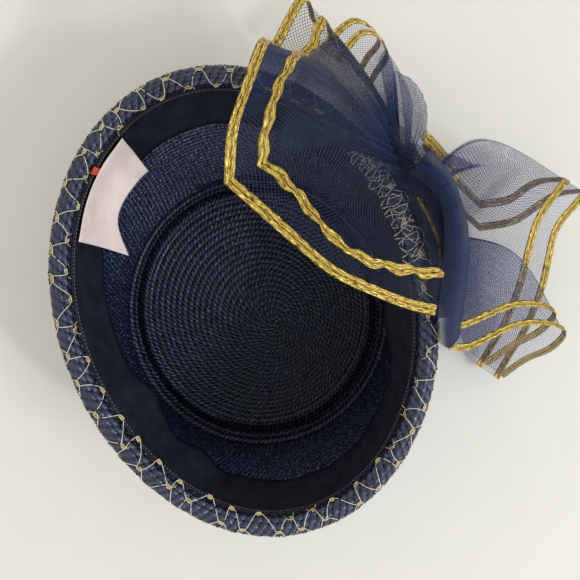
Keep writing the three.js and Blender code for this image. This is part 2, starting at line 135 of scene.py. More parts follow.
class HatColours(bpy.types.PropertyGroup):
    straw: colour_property("Straw", "Colour of the glossy straw", (0.008, 0.01, 0.026))
    band: colour_property("Band", "Colour of the ribbed band", (0.008, 0.0095, 0.0175))
    satin: colour_property("Satin", "Colour of the label", (0.71, 0.6, 0.57))
    net: colour_property("Net", "Colour of the net's thread", (0.76, 0.7, 0.56))
    knot: colour_property("Knot", "Colour of the gold wrapping of the knots", (0.7, 0.57, 0.28))
    mesh: colour_property("Mesh", "Colour of the sheer ribbon's thread", (0.0155, 0.024, 0.068))
    gold: colour_property("Gold", "Colour of the gold braid", (0.62, 0.44, 0.085))
    floor: colour_property("Floor", "Colour of the floor", (0.72, 0.7, 0.66))


# Meshes


def object_from(name, points, faces, material, uvs, values=None):
    """Makes an object from points in millimetres. uvs holds one pair for each corner of each face,
    and values holds named numbers for each point."""
    mesh = bpy.data.meshes.new(name)
    points = np.asarray(points, dtype=np.float64) * MM
    mesh.from_pydata(points.tolist(), [], [list(map(int, face)) for face in faces])
    layer = mesh.uv_layers.new(name="surface")
    layer.data.foreach_set("uv", np.asarray(uvs, dtype=np.float32).ravel())
    for key, numbers in (values or {}).items():
        attribute = mesh.attributes.new(key, "FLOAT", "POINT")
        attribute.data.foreach_set("value", np.asarray(numbers, dtype=np.float32))
    mesh.polygons.foreach_set("use_smooth", [True] * len(mesh.polygons))
    mesh.materials.append(material)
    mesh.update()
    piece = bpy.data.objects.new(name, mesh)
    bpy.context.scene.collection.objects.link(piece)
    return piece


def place(piece, slot, *nodes):
    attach(piece, "root")
    if nodes:
        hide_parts(*nodes)


def tube_faces(count, sides, closed):
    """Faces of a tube of rings, and the ring and side of each corner."""
    faces = []
    corners = []
    spans = count if closed else count - 1
    for i in range(spans):
        for k in range(sides):
            here, ahead = i * sides, (i + 1) % count * sides
            beside = (k + 1) % sides
            faces.append((here + k, here + beside, ahead + beside, ahead + k))
            corners.extend(((i, k), (i, k + 1), (i + 1, k + 1), (i + 1, k)))
    if not closed:
        faces.append(tuple(reversed(range(sides))))
        corners.extend((0, k) for k in reversed(range(sides)))
        last = (count - 1) * sides
        faces.append(tuple(range(last, last + sides)))
        corners.extend((count - 1, k) for k in range(sides))
    return faces, corners


def turned_over(faces, uvs):
    """The same faces with their other side outwards."""
    flipped = []
    flipped_uvs = []
    spot = 0
    for face in faces:
        flipped.append(tuple(reversed(face)))
        flipped_uvs.extend(reversed(uvs[spot : spot + len(face)]))
        spot += len(face)
    return flipped, flipped_uvs


def join_parts(parts):
    points = []
    faces = []
    uvs = []
    count = 0
    for part_points, part_faces, part_uvs in parts:
        points.append(part_points)
        faces.extend(tuple(v + count for v in face) for face in part_faces)
        uvs.extend(part_uvs)
        count += len(part_points)
    return np.concatenate(points), faces, uvs


def thread_tube(path, radius, sides):
    """A closed tube along a path of points."""
    count = len(path)
    points = []
    side = None
    for i, point in enumerate(path):
        ahead = path[min(i + 1, count - 1)] - path[max(i - 1, 0)]
        ahead.normalize()
        if side is None:
            side = ahead.orthogonal().normalized()
        side = (side - ahead * side.dot(ahead)).normalized()
        other = ahead.cross(side)
        for k in range(sides):
            turn = TAU * k / sides
            points.append(point + (side * math.cos(turn) + other * math.sin(turn)) * radius)
    faces, corners = tube_faces(count, sides, False)
    uvs = [(i, k / sides) for i, k in corners]
    return np.array([tuple(p) for p in points]), faces, uvs


def smooth_step(low, high, value):
    share = np.clip((value - low) / (high - low), 0.0, 1.0)
    return share * share * (3 - 2 * share)


def unit_rows(vectors):
    return vectors / np.linalg.norm(vectors, axis=1)[:, None]


def lengths_along(rows):
    """Distance of each row of points from the first one, along the line through them."""
    steps = np.linalg.norm(np.diff(rows, axis=0), axis=1)
    return np.concatenate([[0.0], np.cumsum(steps)])


# Materials


class Tree:
    """Adds nodes to a node tree. A value is a number, a vector, a colour or another node's result."""

    def __init__(self, tree):
        self.nodes = tree.nodes
        self.links = tree.links

    def fill(self, node, inputs):
        for key, value in inputs.items():
            if isinstance(value, bpy.types.NodeSocket):
                self.links.new(value, node.inputs[key])
            else:
                node.inputs[key].default_value = value

    def add(self, kind, result, inputs, **settings):
        """Adds a node with its settings and inputs, and gives one of its results."""
        node = self.nodes.new(f"ShaderNode{kind}")
        for key, value in settings.items():
            setattr(node, key, value)
        self.fill(node, inputs)
        return node.outputs[result]

    def maths(self, operation, *values):
        return self.add("Math", 0, dict(enumerate(values)), operation=operation)

    def product(self, *values):
        return self.maths("MULTIPLY", *values)

    def total(self, *values):
        return self.maths("ADD", *values)

    def less(self, *values):
        return self.maths("SUBTRACT", *values)

    def facing(self, direction, towards):
        return self.add("VectorMath", "Value", {0: direction, 1: towards}, operation="DOT_PRODUCT")

    def surface(self):
        """The piece's own UV map."""
        return self.add("UVMap", "UV", {}, uv_map="surface")

    def number_of(self, name):
        """A number that the piece has at each point."""
        return self.add("Attribute", "Fac", {}, attribute_name=name)

    def along(self, vector):
        return self.add("SeparateXYZ", "X", {"Vector": vector})

    def across(self, vector):
        return self.add("SeparateXYZ", "Y", {"Vector": vector})

    def stretched(self, vector, scale, turn=0.0):
        inputs = {"Vector": vector, "Scale": scale, "Rotation": (0.0, 0.0, turn)}
        return self.add("Mapping", "Vector", inputs)

    def noise(self, vector, scale, detail=2.0, roughness=0.5):
        inputs = {"Vector": vector, "Scale": scale, "Detail": detail, "Roughness": roughness}
        return self.add("TexNoise", "Fac", inputs)

    def ribs(self, vector, direction, scale, distortion):
        inputs = {"Vector": vector, "Scale": scale, "Distortion": distortion}
        return self.add("TexWave", "Fac", inputs, bands_direction=direction)

    def spread(self, value, low, high, to_low=0.0, to_high=1.0, kind="LINEAR"):
        inputs = {"Value": value, "From Min": low, "From Max": high, "To Min": to_low, "To Max": to_high}
        return self.add("MapRange", "Result", inputs, interpolation_type=kind)

    def mixed(self, share, first, second, kind="MIX"):
        inputs = {"Factor": share, "A": first, "B": second}
        return self.add("Mix", "Result", inputs, data_type="RGBA", blend_type=kind)

    def shades(self, value, *stops):
        """A colour for each value. A stop is a value and its colour."""
        ramp = self.nodes.new("ShaderNodeValToRGB")
        self.links.new(value, ramp.inputs["Fac"])
        elements = ramp.color_ramp.elements
        for element, (spot, colour) in zip(elements, (stops[0], stops[-1])):
            element.position = spot
            element.color = (*colour, 1.0)
        for spot, colour in stops[1:-1]:
            elements.new(spot).color = (*colour, 1.0)
        return ramp.outputs["Color"]

    def bump(self, height, distance, strength=1.0):
        inputs = {"Height": height, "Distance": distance, "Strength": strength}
        return self.add("Bump", "Normal", inputs)


def new_material(name):
    """A new material with its node tree and its shader."""
    material = bpy.data.materials.new(name)
    material.use_nodes = True
    tree = Tree(material.node_tree)
    return material, tree, tree.nodes["Principled BSDF"]


def tinted(colour, share):
    """A colour times one share, or times a share for each of its parts, and no brighter than white."""
    return [min(part * times, 1.0) for part, times in zip(colour, np.broadcast_to(share, 3))]


def straw_material(name, colour, slant, height, gloss, coat):
    """Glossy straw: each crossing of the plait is a rounded dash that lies aslant, its top painted lighter,
    a painted highlight.
    """
    material, tree, shader = new_material(name)
    uv = tree.surface()
    dash = tree.maths("FRACT", tree.total(tree.along(uv), tree.product(tree.across(uv), slant)))
    centred = tree.less(tree.product(dash, 2.0), 1.0)
    rounded = tree.less(1.0, tree.product(centred, centred))
    fibres = tree.noise(tree.stretched(uv, (9.0, 22.0, 1.0), 0.9), 0.6)
    patches = tree.noise(uv, 0.8, 3.0)
    # The base colour varies in random patches, and the top of each dash is painted lighter, a painted
    # highlight.
    shade = tree.total(patches, tree.product(rounded, 0.3))
    uneven = tree.total(rounded, tree.product(fibres, 0.35))
    dented = tree.total(uneven, tree.product(patches, 0.9))
    look = {
        "Base Color": tree.shades(shade, (0.4, tinted(colour, 0.3)), (0.85, tinted(colour, 3.0))),
        "Roughness": tree.spread(patches, 0.0, 1.0, 0.18, 0.36),
        "Normal": tree.bump(dented, height),
        "IOR": 1.7,
        "Specular IOR Level": gloss,
        "Specular Tint": (0.66, 0.74, 1.0, 1.0),
        "Coat Weight": coat,
        "Coat Roughness": 0.3,
        "Coat Tint": (0.85, 0.9, 1.0, 1.0),
    }
    tree.fill(shader, look)
    return material


def ribbed_material(colour):
    """Matt ribbon with ribs across it, worn paler in patches."""
    material, tree, shader = new_material("ribbed_ribbon")
    uv = tree.surface()
    worn = tree.noise(uv, 0.12, 5.0)
    look = {
        "Base Color": tree.shades(worn, (0.3, tinted(colour, 0.7)), (0.75, tinted(colour, 2.2))),
        "Normal": tree.bump(tree.ribs(uv, "X", 0.32, 0.15), 0.0003, 0.6),
        "Roughness": 0.62,
        "Specular IOR Level": 0.3,
    }
    tree.fill(shader, look)
    return material


def thread_material(name, colour):
    """Sewing thread with a fine twist."""
    material, tree, shader = new_material(name)
    twist = tree.noise(tree.add("TexCoord", "Object", {}), 900.0)
    look = {
        "Base Color": tree.shades(twist, (0.0, tinted(colour, 0.6)), (1.0, tinted(colour, 1.25))),
        "Normal": tree.bump(twist, 0.0002, 0.3),
        "Roughness": 0.6,
    }
    tree.fill(shader, look)
    return material


def satin_material(colour):
    """Smooth ribbon with a faint weave and a soft sheen."""
    material, tree, shader = new_material("woven_satin")
    uv = tree.surface()
    tint = tree.noise(uv, 0.12, 4.0)
    dull = tinted(colour, (0.94, 0.9, 0.88))
    look = {
        "Base Color": tree.shades(tint, (0.3, dull), (0.7, tinted(colour, 1.05))),
        "Normal": tree.bump(tree.ribs(uv, "Y", 0.7, 0.4), 0.0001, 0.15),
        "Roughness": 0.4,
        "Sheen Weight": 0.2,
    }
    tree.fill(shader, look)
    return material


def mesh_material(name, colour, cell):
    """Sheer mesh: fine threads that cross aslant, see-through between them. The point value "weave" says
    which way a face's threads run, and "layers" how many layers lie on each other, which sets how
    see-through the mesh is and its colour: paler where few lie, a painted highlight, and darker where many
    do, painted shade."""
    material, tree, shader = new_material(name)
    uv = tree.surface()
    turns = TAU / cell
    slanted = tree.product(tree.product(tree.across(uv), 0.62 * turns), tree.number_of("weave"))
    wave = tree.maths("SINE", tree.total(tree.product(tree.along(uv), 0.78 * turns), slanted))
    thread = tree.spread(wave, 0.8, 0.98, kind="SMOOTHSTEP")
    layers = tree.number_of("layers")
    clear = tree.maths("POWER", 0.76, tree.less(layers, 1.0))
    gaps = tree.product(tree.less(1.0, thread), clear)
    haze = tree.noise(tree.stretched(uv, (0.42, 0.035, 1.0)), 1.0, 3.0)
    specks = tree.noise(uv, 1.1)
    thin = tree.total(tree.product(haze, 0.7), tree.product(wave, 0.3))
    fine = tree.total(tree.product(specks, 0.3), tree.product(wave, 0.06))
    thick = tree.total(tree.product(haze, 0.6), fine)
    # The thread is painted paler where few layers lie on each other, a painted highlight, and darker and
    # bluer where many do, painted shade between the layers.
    lit_thin_colour, shaded_thick_colour = [
        tree.shades(shade, (0.12, tinted(colour, dark)), (0.72, tinted(colour, bright)))
        for shade, dark, bright in (
            (thin, (0.4, 0.34, 0.24), (1.8, 1.5, 1.0)),
            (thick, (0.15, 0.18, 0.22), (1.1, 1.2, 1.35)),
        )
    ]
    look = {
        "Alpha": tree.less(1.0, gaps),
        "Base Color": tree.mixed(tree.spread(layers, 1.5, 4.0), lit_thin_colour, shaded_thick_colour),
        "Normal": tree.bump(wave, 0.0001, 0.4),
        "Roughness": 0.5,
        "Specular IOR Level": 0.16,
        "Specular Tint": (0.7, 0.78, 1.0, 1.0),
    }
    tree.fill(shader, look)
    return material


def gold_material(name, colour):
    """Metal thread: fine strands along the braid, the brightest painted glints and the darkest painted shade
    between strands, with a darker middle line and dull edges.
    """
    material, tree, shader = new_material(name)
    uv = tree.surface()
    strands = tree.noise(tree.stretched(uv, (0.32, 3.0, 1.0)), 1.0, 3.0, 0.65)
    # The strands vary at random; the brightest are painted glints and the darkest painted shade in the gaps
    # between strands.
    dark = tinted(colour, (0.15, 0.12, 0.1))
    glint = tinted(colour, (2.0, 1.75, 2.6))
    metal = tree.shades(strands, (0.42, dark), (0.52, colour), (0.61, glint))
    dull, full, line = (0.6, 0.5, 0.4), (1.0, 1.0, 1.0), (0.4, 0.344, 0.28)
    edges = [(0.0, dull), (0.08, full), (0.4, full), (0.46, line), (0.54, line), (0.6, full)]
    edges += [(0.92, full), (1.0, dull)]
    groove = tree.shades(tree.maths("DIVIDE", tree.across(uv), BRAID_WIDTH), *edges)
    look = {
        "Base Color": tree.mixed(0.9, metal, groove, "MULTIPLY"),
        "Normal": tree.bump(strands, 0.0006),
        "Metallic": 0.7,
        "Roughness": 0.24,
    }
    tree.fill(shader, look)
    return material


def floor_material(colour):
    material, tree, shader = new_material("pale_floor")
    grain = tree.noise(tree.add("TexCoord", "Object", {}), 40.0, 6.0)
    look = {
        "Base Color": tree.shades(grain, (0.3, tinted(colour, 0.99)), (0.7, tinted(colour, 1.01))),
        "Roughness": 0.85,
        "Specular IOR Level": 0.1,
    }
    tree.fill(shader, look)
    return material


# Shape of the hat


def height_share(z):
    return np.clip((z - BASE_Z) / (CROWN_TOP_Z - BASE_Z), 0.0, 1.0)


def pressed_in(z, angle):
    facing = np.cos(angle - math.radians(RIM_FLAT_DEGREES))
    return RIM_FLAT_DEPTH * height_share(z) * np.maximum(facing, 0.0) ** 4


def wall_point(z, angle, outward=0.0, height=None):
    """Points on the side wall's inner face, moved outward. height, where given, is the final z."""
    z = np.asarray(z, dtype=float)
    share = height_share(z)
    half_width = BASE_HALF_WIDTH + (RIM_HALF_WIDTH - BASE_HALF_WIDTH) * share
    half_length = BASE_HALF_LENGTH + (RIM_HALF_LENGTH - BASE_HALF_LENGTH) * share
    centre_y = BASE_CENTRE_Y + (RIM_CENTRE_Y - BASE_CENTRE_Y) * share
    moved = outward - pressed_in(z, angle)
    x = (half_width + moved) * np.cos(angle)
    y = centre_y + (half_length + moved) * np.sin(angle)
    final = z if height is None else height
    return np.stack(np.broadcast_arrays(x, y, final), axis=-1)


# Half widths and heights of the middle of the straw from the tip's centre out to the crease
TIP_PROFILE = [
    {"half_width": 0.0, "z": 1.6},
    {"half_width": 26.0, "z": 1.6},
    {"half_width": 44.0, "z": 2.6},
    {"half_width": 60.4, "z": 4.7},
    {"half_width": 62.9, "z": 5.4},
    {"half_width": 64.8, "z": 5.6},
    {"half_width": 66.6, "z": 4.2},
    {"half_width": 69.0, "z": 1.6},
    {"half_width": 72.4, "z": 1.6},
    {"half_width": 74.9, "z": 2.6},
]
WALL_MIDDLE_OUT = STRAW_THICKNESS / 2
SPIRAL_START = (9.0, -12.0)
SPIRAL_EVEN_FROM = 60.4


def crown_profile():
    rows = [(row["half_width"], row["z"]) for row in TIP_PROFILE]
    rows.append((BASE_HALF_WIDTH + WALL_MIDDLE_OUT, BASE_Z))
    rows.append((RIM_HALF_WIDTH + WALL_MIDDLE_OUT, CROWN_TOP_Z))
    rows = np.array(rows)
    return rows, lengths_along(rows)


PROFILE, PROFILE_AT = crown_profile()
TIP_END = PROFILE_AT[-2]
CROWN_END = PROFILE_AT[-1]


def crown_point(along, angle):
    """The middle of the straw at a distance along the profile from the tip's centre."""
    half_width = np.interp(along, PROFILE_AT, PROFILE[:, 0])
    z = np.interp(along, PROFILE_AT, PROFILE[:, 1])
    edge = np.minimum(half_width / BASE_HALF_WIDTH, 1.0)
    base_shape = BASE_HALF_LENGTH / BASE_HALF_WIDTH
    half_length = half_width * (TIP_LENGTHENING + (base_shape - TIP_LENGTHENING) * edge**6)
    aside = np.clip(1 - half_width / SPIRAL_EVEN_FROM, 0, 1)
    x = half_width * np.cos(angle) + SPIRAL_START[0] * aside
    y = BASE_CENTRE_Y * edge**8 + half_length * np.sin(angle) + SPIRAL_START[1] * aside
    tip = np.stack(np.broadcast_arrays(x, y, z), axis=-1)
    wall = wall_point(z, angle, WALL_MIDDLE_OUT)
    return np.where((np.asarray(along) > TIP_END)[..., None], wall, tip)


def roll_point(turn, angle, proud=0.0):
    outward = ROLL_OUTWARD + (ROLL_HALF_WIDTH + proud) * np.cos(turn)
    height = ROLL_Z + (ROLL_HALF_HEIGHT + proud) * np.sin(turn)
    return wall_point(np.full_like(np.asarray(angle, dtype=float), CROWN_TOP_Z), angle, outward, height)


# Straw plait: its section, as shares of its width and millimetres off the middle, with the visible
# side first, how much each point takes part in the crossings and how far they slant there
PLAIT_SECTION = [
    {"across": -0.62, "off": 0.0, "round": -0.25, "swell": 0.0, "slant": 0.0},
    {"across": -0.34, "off": 0.3, "round": 0.12, "swell": 0.9, "slant": 0.0},
    {"across": 0.04, "off": 0.36, "round": 0.3, "swell": 1.0, "slant": 0.3},
    {"across": 0.4, "off": 0.26, "round": 0.08, "swell": 0.8, "slant": 0.6},
    {"across": 0.64, "off": -0.12, "round": -0.3, "swell": 0.0, "slant": 0.0},
    {"across": 0.3, "off": -0.75, "round": 0.0, "swell": -0.8, "slant": 0.4},
    {"across": -0.06, "off": -0.85, "round": 0.0, "swell": -0.9, "slant": 0.2},
    {"across": -0.4, "off": -0.6, "round": 0.0, "swell": -0.7, "slant": 0.0},
]
PLAIT_STEPS = 3
PLAIT_SEED = 7
DRIFT_SEED = 5
DRIFT = 0.3
TIP_PLAIT = {"swell": 0.4, "round": 0.4}
SIDE_PLAIT = {"swell": 0.75, "round": 1.3}
EDGE_PLAIT = {"swell": 0.5, "round": 2.2}
# How much longer a round of the spiral is than a circle of its half width, how much more that is at
# the rim, and the least length of a round
ROUND_LONGER = 1.02
RIM_ROUND_LONGER = 0.14
SHORTEST_ROUND = 9.0
# Share of a row's pitch that the last row stays below the crown's edge
LAST_ROW_BELOW = 0.64


def evened(draws):
    """Random draws, averaged over one dash of plait."""
    return np.convolve(draws, np.ones(PLAIT_STEPS) / PLAIT_STEPS, "same")


def plait(centres, across, outward, phase, pitch, closed, style):
    """Points, faces and corner coordinates of one strip of plait along its centres."""
    sides = len(PLAIT_SECTION)
    points = np.zeros((len(centres), sides, 3))
    pitch = np.broadcast_to(pitch, len(centres))[:, None]
    uneven = evened(np.random.default_rng(PLAIT_SEED).uniform(0.1, 1.9, len(centres)))
    for k, row in enumerate(PLAIT_SECTION):
        off = row["off"] + row["round"] * style["round"]
        swell = uneven * style["swell"] * row["swell"] * np.cos(TAU * (phase + row["slant"]))
        points[:, k] = centres + across * (row["across"] * pitch) + outward * (off + swell)[:, None]
    faces, corners = tube_faces(len(centres), sides, closed)
    phases = [*phase, phase[-1] + 1.0 / PLAIT_STEPS]
    uvs = [(phases[i], k / sides) for i, k in corners]
    return points.reshape(-1, 3), faces, uvs


def spiral_plait(start, end, row_pitch, dash_pitch, style):
    """A strip of plait sewn round and round, from one distance along the crown's profile to another.
    Each round has half a dash more, so that the rows lie like bricks."""
    turn = start / row_pitch
    last = end / row_pitch
    turns = []
    while turn < last:
        turns.append(turn)
        along = turn * row_pitch
        half_width = np.interp(along, PROFILE_AT, PROFILE[:, 0])
        longer = 1.0 + RIM_ROUND_LONGER * np.clip((along - TIP_END) / (CROWN_END - TIP_END), 0, 1)
        round_length = max(TAU * half_width * ROUND_LONGER * longer, SHORTEST_ROUND)
        dashes = round(round_length / dash_pitch) + 0.5
        turn += 1.0 / PLAIT_STEPS / dashes
    turns = np.array(turns)
    drift = evened(np.random.default_rng(DRIFT_SEED).uniform(-1.0, 1.0, len(turns)))
    phase = np.arange(len(turns)) / PLAIT_STEPS + DRIFT * drift
    along = np.clip(turns * row_pitch, 0.0, CROWN_END - row_pitch * LAST_ROW_BELOW)
    angle = TAU * turns
    small = 0.05
    centres = crown_point(along, angle)
    behind = np.maximum(along - small, 0)
    across = crown_point(along + small, angle) - crown_point(behind, angle)
    reach = np.linalg.norm(across, axis=1)
    width = row_pitch * reach / (along + small - behind)
    across = unit_rows(across)
    around = unit_rows(np.gradient(centres, axis=0))
    inward = unit_rows(np.cross(across, around))
    return plait(centres, across, inward, phase, width, False, style)


# Sewn straw


class HAT_OT_crown(bpy.types.Operator):
    """Sews the crown from a long spiral of straw plait"""

    bl_idname = "hat.crown"
    bl_label = "Straw crown"

    def execute(self, context):
        sizes = context.scene.hat_sizes
        colour = context.scene.hat_colours.straw
        # The tip's straw is a darker copy of the straw colour, painted shade, and the side's a lighter copy,
        # painted light.
        shaded_tip_look = straw_material("tip_straw", tinted(colour, 0.5), 2.0, 0.001, 0.55, 0.3)
        lit_side_look = straw_material("side_straw", tinted(colour, 1.6), 1.2, 0.0016, 1.0, 1.0)
        row = sizes.row_pitch / MM
        dash = sizes.dash_pitch / MM
        middle = TIP_END + (CROWN_END - TIP_END) / 2
        for name, start, end, style, look in (
            ("crown_tip", 0.0, TIP_END, TIP_PLAIT, shaded_tip_look),
            ("crown_low_side", TIP_END, middle, SIDE_PLAIT, lit_side_look),
            ("crown_high_side", middle, CROWN_END, SIDE_PLAIT, lit_side_look),
        ):
            points, faces, uvs = spiral_plait(start, end, row, dash, style)
            place(object_from(name, points, faces, look, uvs), "navy_straw", "crown")
        return {"FINISHED"}


class HAT_OT_edge(bpy.types.Operator):
    """Wraps the rolled edge in rows of straw plait"""

    bl_idname = "hat.edge"
    bl_label = "Rolled edge"

    def execute(self, context):
        sizes = context.scene.hat_sizes
        # The edge's straw is a darker copy of the straw colour, painted shade.
        colour = tinted(context.scene.hat_colours.straw, 0.6)
        look = straw_material("edge_straw", colour, 1.3, 0.001, 0.5, 0.2)
        section_length = math.pi * (ROLL_HALF_WIDTH + ROLL_HALF_HEIGHT)
        rows = round(section_length / (sizes.roll_row_pitch / MM))
        count = EDGE_DASHES * PLAIT_STEPS
        angle = np.arange(count) * TAU / count
        small = 0.02
        parts = []
        for row in range(rows):
            turn = TAU * row / rows
            centres, before, after = [
                roll_point(turn + step, angle, EDGE_PROUD) for step in (0.0, -small, small)
            ]
            across = unit_rows(before - after)
            around = unit_rows(np.roll(centres, -1, axis=0) - np.roll(centres, 1, axis=0))
            outward = np.cross(across, around)
            phase = np.arange(count) / PLAIT_STEPS + row * EDGE_ROW_STAGGER
            width = section_length / rows
            parts.append(plait(centres, across, outward, phase, width, True, EDGE_PLAIT))
        points, faces, uvs = join_parts(parts)
        place(object_from("edge_plait", points, faces, look, uvs), "navy_straw", "edge_roll")
        return {"FINISHED"}


# Band

# How far the band's lower edge stands off the wall, and how high that edge is, at each angle
BAND_FOLDS = [
    {"degrees": 0, "stands_off": 5.0, "z": 61.0},
    {"degrees": 20, "stands_off": 1.5, "z": 61.0},
    {"degrees": 60, "stands_off": 1.2, "z": 63.0},
    {"degrees": 100, "stands_off": 1.2, "z": 64.0},
    {"degrees": 140, "stands_off": 2.0, "z": 62.0},
    {"degrees": 166, "stands_off": 5.5, "z": 61.0},
    {"degrees": 184, "stands_off": 7.5, "z": 61.0},
    {"degrees": 202, "stands_off": 12.0, "z": 62.0},
    {"degrees": 219, "stands_off": 6.0, "z": 61.0},
    {"degrees": 229, "stands_off": 8.0, "z": 61.0},
    {"degrees": 243, "stands_off": 2.5, "z": 60.0},
    {"degrees": 290, "stands_off": 1.5, "z": 61.0},
    {"degrees": 325, "stands_off": 4.0, "z": 61.0},
    {"degrees": 342, "stands_off": 10.0, "z": 62.0},
]


def band_fold(angle):
    """How far the band's lower edge stands off the wall, and its height, at an angle."""
    degrees = math.degrees(angle) % 360
    rows = [dict(BAND_FOLDS[-1], degrees=BAND_FOLDS[-1]["degrees"] - 360), *BAND_FOLDS]
    rows.append(dict(BAND_FOLDS[0], degrees=360))
    k = next(i for i, row in enumerate(rows) if i and row["degrees"] > degrees)
    low, high = rows[k - 1], rows[k]
    eased = smooth_step(low["degrees"], high["degrees"], degrees)
    return [low[key] + (high[key] - low[key]) * eased for key in ("stands_off", "z")]


def band_point(angle, down, inside=0.0):
    """A point on the band, from its top at 0 to its lower edge at 1."""
    stands_off, low_z = band_fold(angle)
    z = BAND_TOP_Z + (low_z - BAND_TOP_Z) * down
    middle = (BAND_TOP_Z - BAND_MIDDLE_Z) / (BAND_TOP_Z - low_z)
    bent = np.interp(down, [0.0, middle, 1.0], [0.0, stands_off * BAND_MIDDLE_STANDS_OFF, stands_off])
    curved = stands_off * down**1.6
    return wall_point(z, angle, -(GAP + (bent + curved) / 2 + inside))


class HAT_OT_band(bpy.types.Operator):
    """Sews the ribbed band inside the opening, with its stitches"""

    bl_idname = "hat.band"
    bl_label = "Ribbed band"

    def execute(self, context):
        colours = context.scene.hat_colours
        section = [(down, 0.0) for down in reversed(BAND_DOWNS)]
        section += [(down, BAND_WEB) for down in BAND_DOWNS]
        points = []
        for i in range(BAND_STEPS):
            angle = TAU * i / BAND_STEPS
            for down, inside in section:
                ripple = BAND_RIPPLE * down * math.sin(19 * angle + 2.0 * math.sin(5 * angle))
                points.append(band_point(angle, down, inside + ripple))
        faces, corners = tube_faces(BAND_STEPS, len(section), True)
        downs = [down * BAND_WIDTH for down, _ in section]
        uvs = [(i * BAND_LENGTH / BAND_STEPS, downs[k % len(section)]) for i, k in corners]
        band = object_from("ribbed_band", points, faces, ribbed_material(colours.band), uvs)
        place(band, "ribbed_ribbon", "sweatband")

        stitches = []
        half = 0.3 * TAU / STITCH_COUNT
        for i in range(STITCH_COUNT):
            middle = TAU * i / STITCH_COUNT
            path = [band_point(middle + side * half, STITCH_DOWN, BAND_WEB + 0.2) for side in (-1, 0, 1)]
            stitches.append(thread_tube([Vector(p) for p in path], STITCH_RADIUS, 5))
        points, faces, uvs = join_parts(stitches)
        thread = thread_material("pale_stitch", (0.17, 0.15, 0.14))
        place(object_from("band_stitches", points, faces, thread, uvs), "ribbed_ribbon")
        return {"FINISHED"}


# Lofted sheets

# Two points of a curve count as one when the square root of their distance is under this
SAME_PLACE = 1e-4


class RowCurve:
    """A centripetal curve through points, smooth except at its corners."""

    def __init__(self, points, corners=()):
        self.last = len(points) - 1
        ends = [0, *corners, self.last]
        self.runs = [(a, b, points[a : b + 1]) for a, b in zip(ends, ends[1:])]

    def at(self, share):
        place_along = min(max(share, 0.0), 1.0) * self.last
        for low, high, points in self.runs:
            if place_along <= high:
                break
        spot = place_along - low
        k = min(int(spot), high - low - 1)
        weight = spot - k
        start, end = points[k], points[k + 1]
        before = points[k - 1] if k > 0 else start * 2 - end
        after = points[k + 2] if k + 2 < len(points) else end * 2 - start
        gap_before, gap, gap_after = [
            (b - a).length ** 0.5 for a, b in ((before, start), (start, end), (end, after))
        ]
        gap = gap if gap > SAME_PLACE else 1.0
        gap_before = gap_before if gap_before > SAME_PLACE else gap
        gap_after = gap_after if gap_after > SAME_PLACE else gap
        step = (end - start) / gap
        leaving = ((start - before) / gap_before - (end - before) / (gap_before + gap) + step) * gap
        arriving = (step - (after - start) / (gap + gap_after) + (after - end) / gap_after) * gap
        square = (end - start) * 3 - leaving * 2 - arriving
        cube = (start - end) * 2 + leaving + arriving
        return start + leaving * weight + square * weight**2 + cube * weight**3


class Loft:
    """A sheet across its folds, whose rows have an edge, a middle and a root point. facing says on
    which side of the sheet its braid lies."""

    def __init__(self, folds, facing=1):
        self.folds = folds
        self.facing = facing
        corners = [k for k, fold in enumerate(folds) if fold.get("corner")]
        edges = []
        for fold in folds:
            edge, middle = Vector(fold["edge"]), Vector(fold["middle"])
            edges.append(edge + (edge - middle).normalized() * fold.get("hem", BRAID_WIDTH / 2))
        self.edge = RowCurve(edges, corners)
        self.middle = RowCurve([Vector(fold["middle"]) for fold in folds], corners)
        self.root = RowCurve([Vector(fold["root"]) for fold in folds], corners)

    def between(self, share, key, usual):
        """A number of the folds at a share along the sheet. Folds that don't give it have the usual one."""
        place_along = share * (len(self.folds) - 1)
        k = min(int(place_along), len(self.folds) - 2)
        low, high = [self.folds[i].get(key, usual) for i in (k, k + 1)]
        return low + (high - low) * (place_along - k)

    def spacing(self, share):
        return self.between(share, "spacing", BRAID_SPACING)

    def rib(self, share):
        return RowCurve([curve.at(share) for curve in (self.edge, self.middle, self.root)])

    def point(self, share, across):
        return self.rib(share).at(across)

    def normal(self, share, across):
        small = 0.004
        along = self.point(share + small, across) - self.point(share - small, across)
        inward = self.point(share, across + small) - self.point(share, across - small)
        return along.cross(inward).normalized()

    def across_at(self, share, distances):
        """The shares across at which a rib is these distances from its edge."""
        rib = self.rib(share)
        steps = 40
        spots = [rib.at(k / steps) for k in range(steps + 1)]
        lengths = np.cumsum([0.0] + [(b - a).length for a, b in zip(spots, spots[1:])])
        return np.interp(distances, lengths, np.arange(steps + 1) / steps)


def sheet_mesh(loft, steps_along, steps_across, thickness, push):
    """Points, faces and corner places of a thin closed sheet, and the grid of its outer points.
    push moves a point along its normal."""
    points = []
    for side in (1, -1):
        for i in range(steps_along + 1):
            share = i / steps_along
            for j in range(steps_across + 1):
                across = j / steps_across
                lift = push(share, across) + side * thickness / 2
                points.append(loft.point(share, across) + loft.normal(share, across) * lift)
    row = steps_across + 1
    layer = (steps_along + 1) * row
    faces = []
    for i in range(steps_along):
        for j in range(steps_across):
            a, b = i * row + j, (i + 1) * row + j
            faces.append((a, b, b + 1, a + 1))
            faces.append((layer + a, layer + a + 1, layer + b + 1, layer + b))
    border = [i * row for i in range(steps_along)]
    border += [steps_along * row + j for j in range(steps_across)]
    border += [i * row + steps_across for i in range(steps_along, 0, -1)]
    border += list(range(steps_across, 0, -1))
    for k, start in enumerate(border):
        end = border[(k + 1) % len(border)]
        faces.append((start, layer + start, layer + end, end))
    spots = [corner % layer for face in faces for corner in face]
    grid = np.array([tuple(p) for p in points[:layer]]).reshape(steps_along + 1, row, 3)
    return points, faces, spots, grid


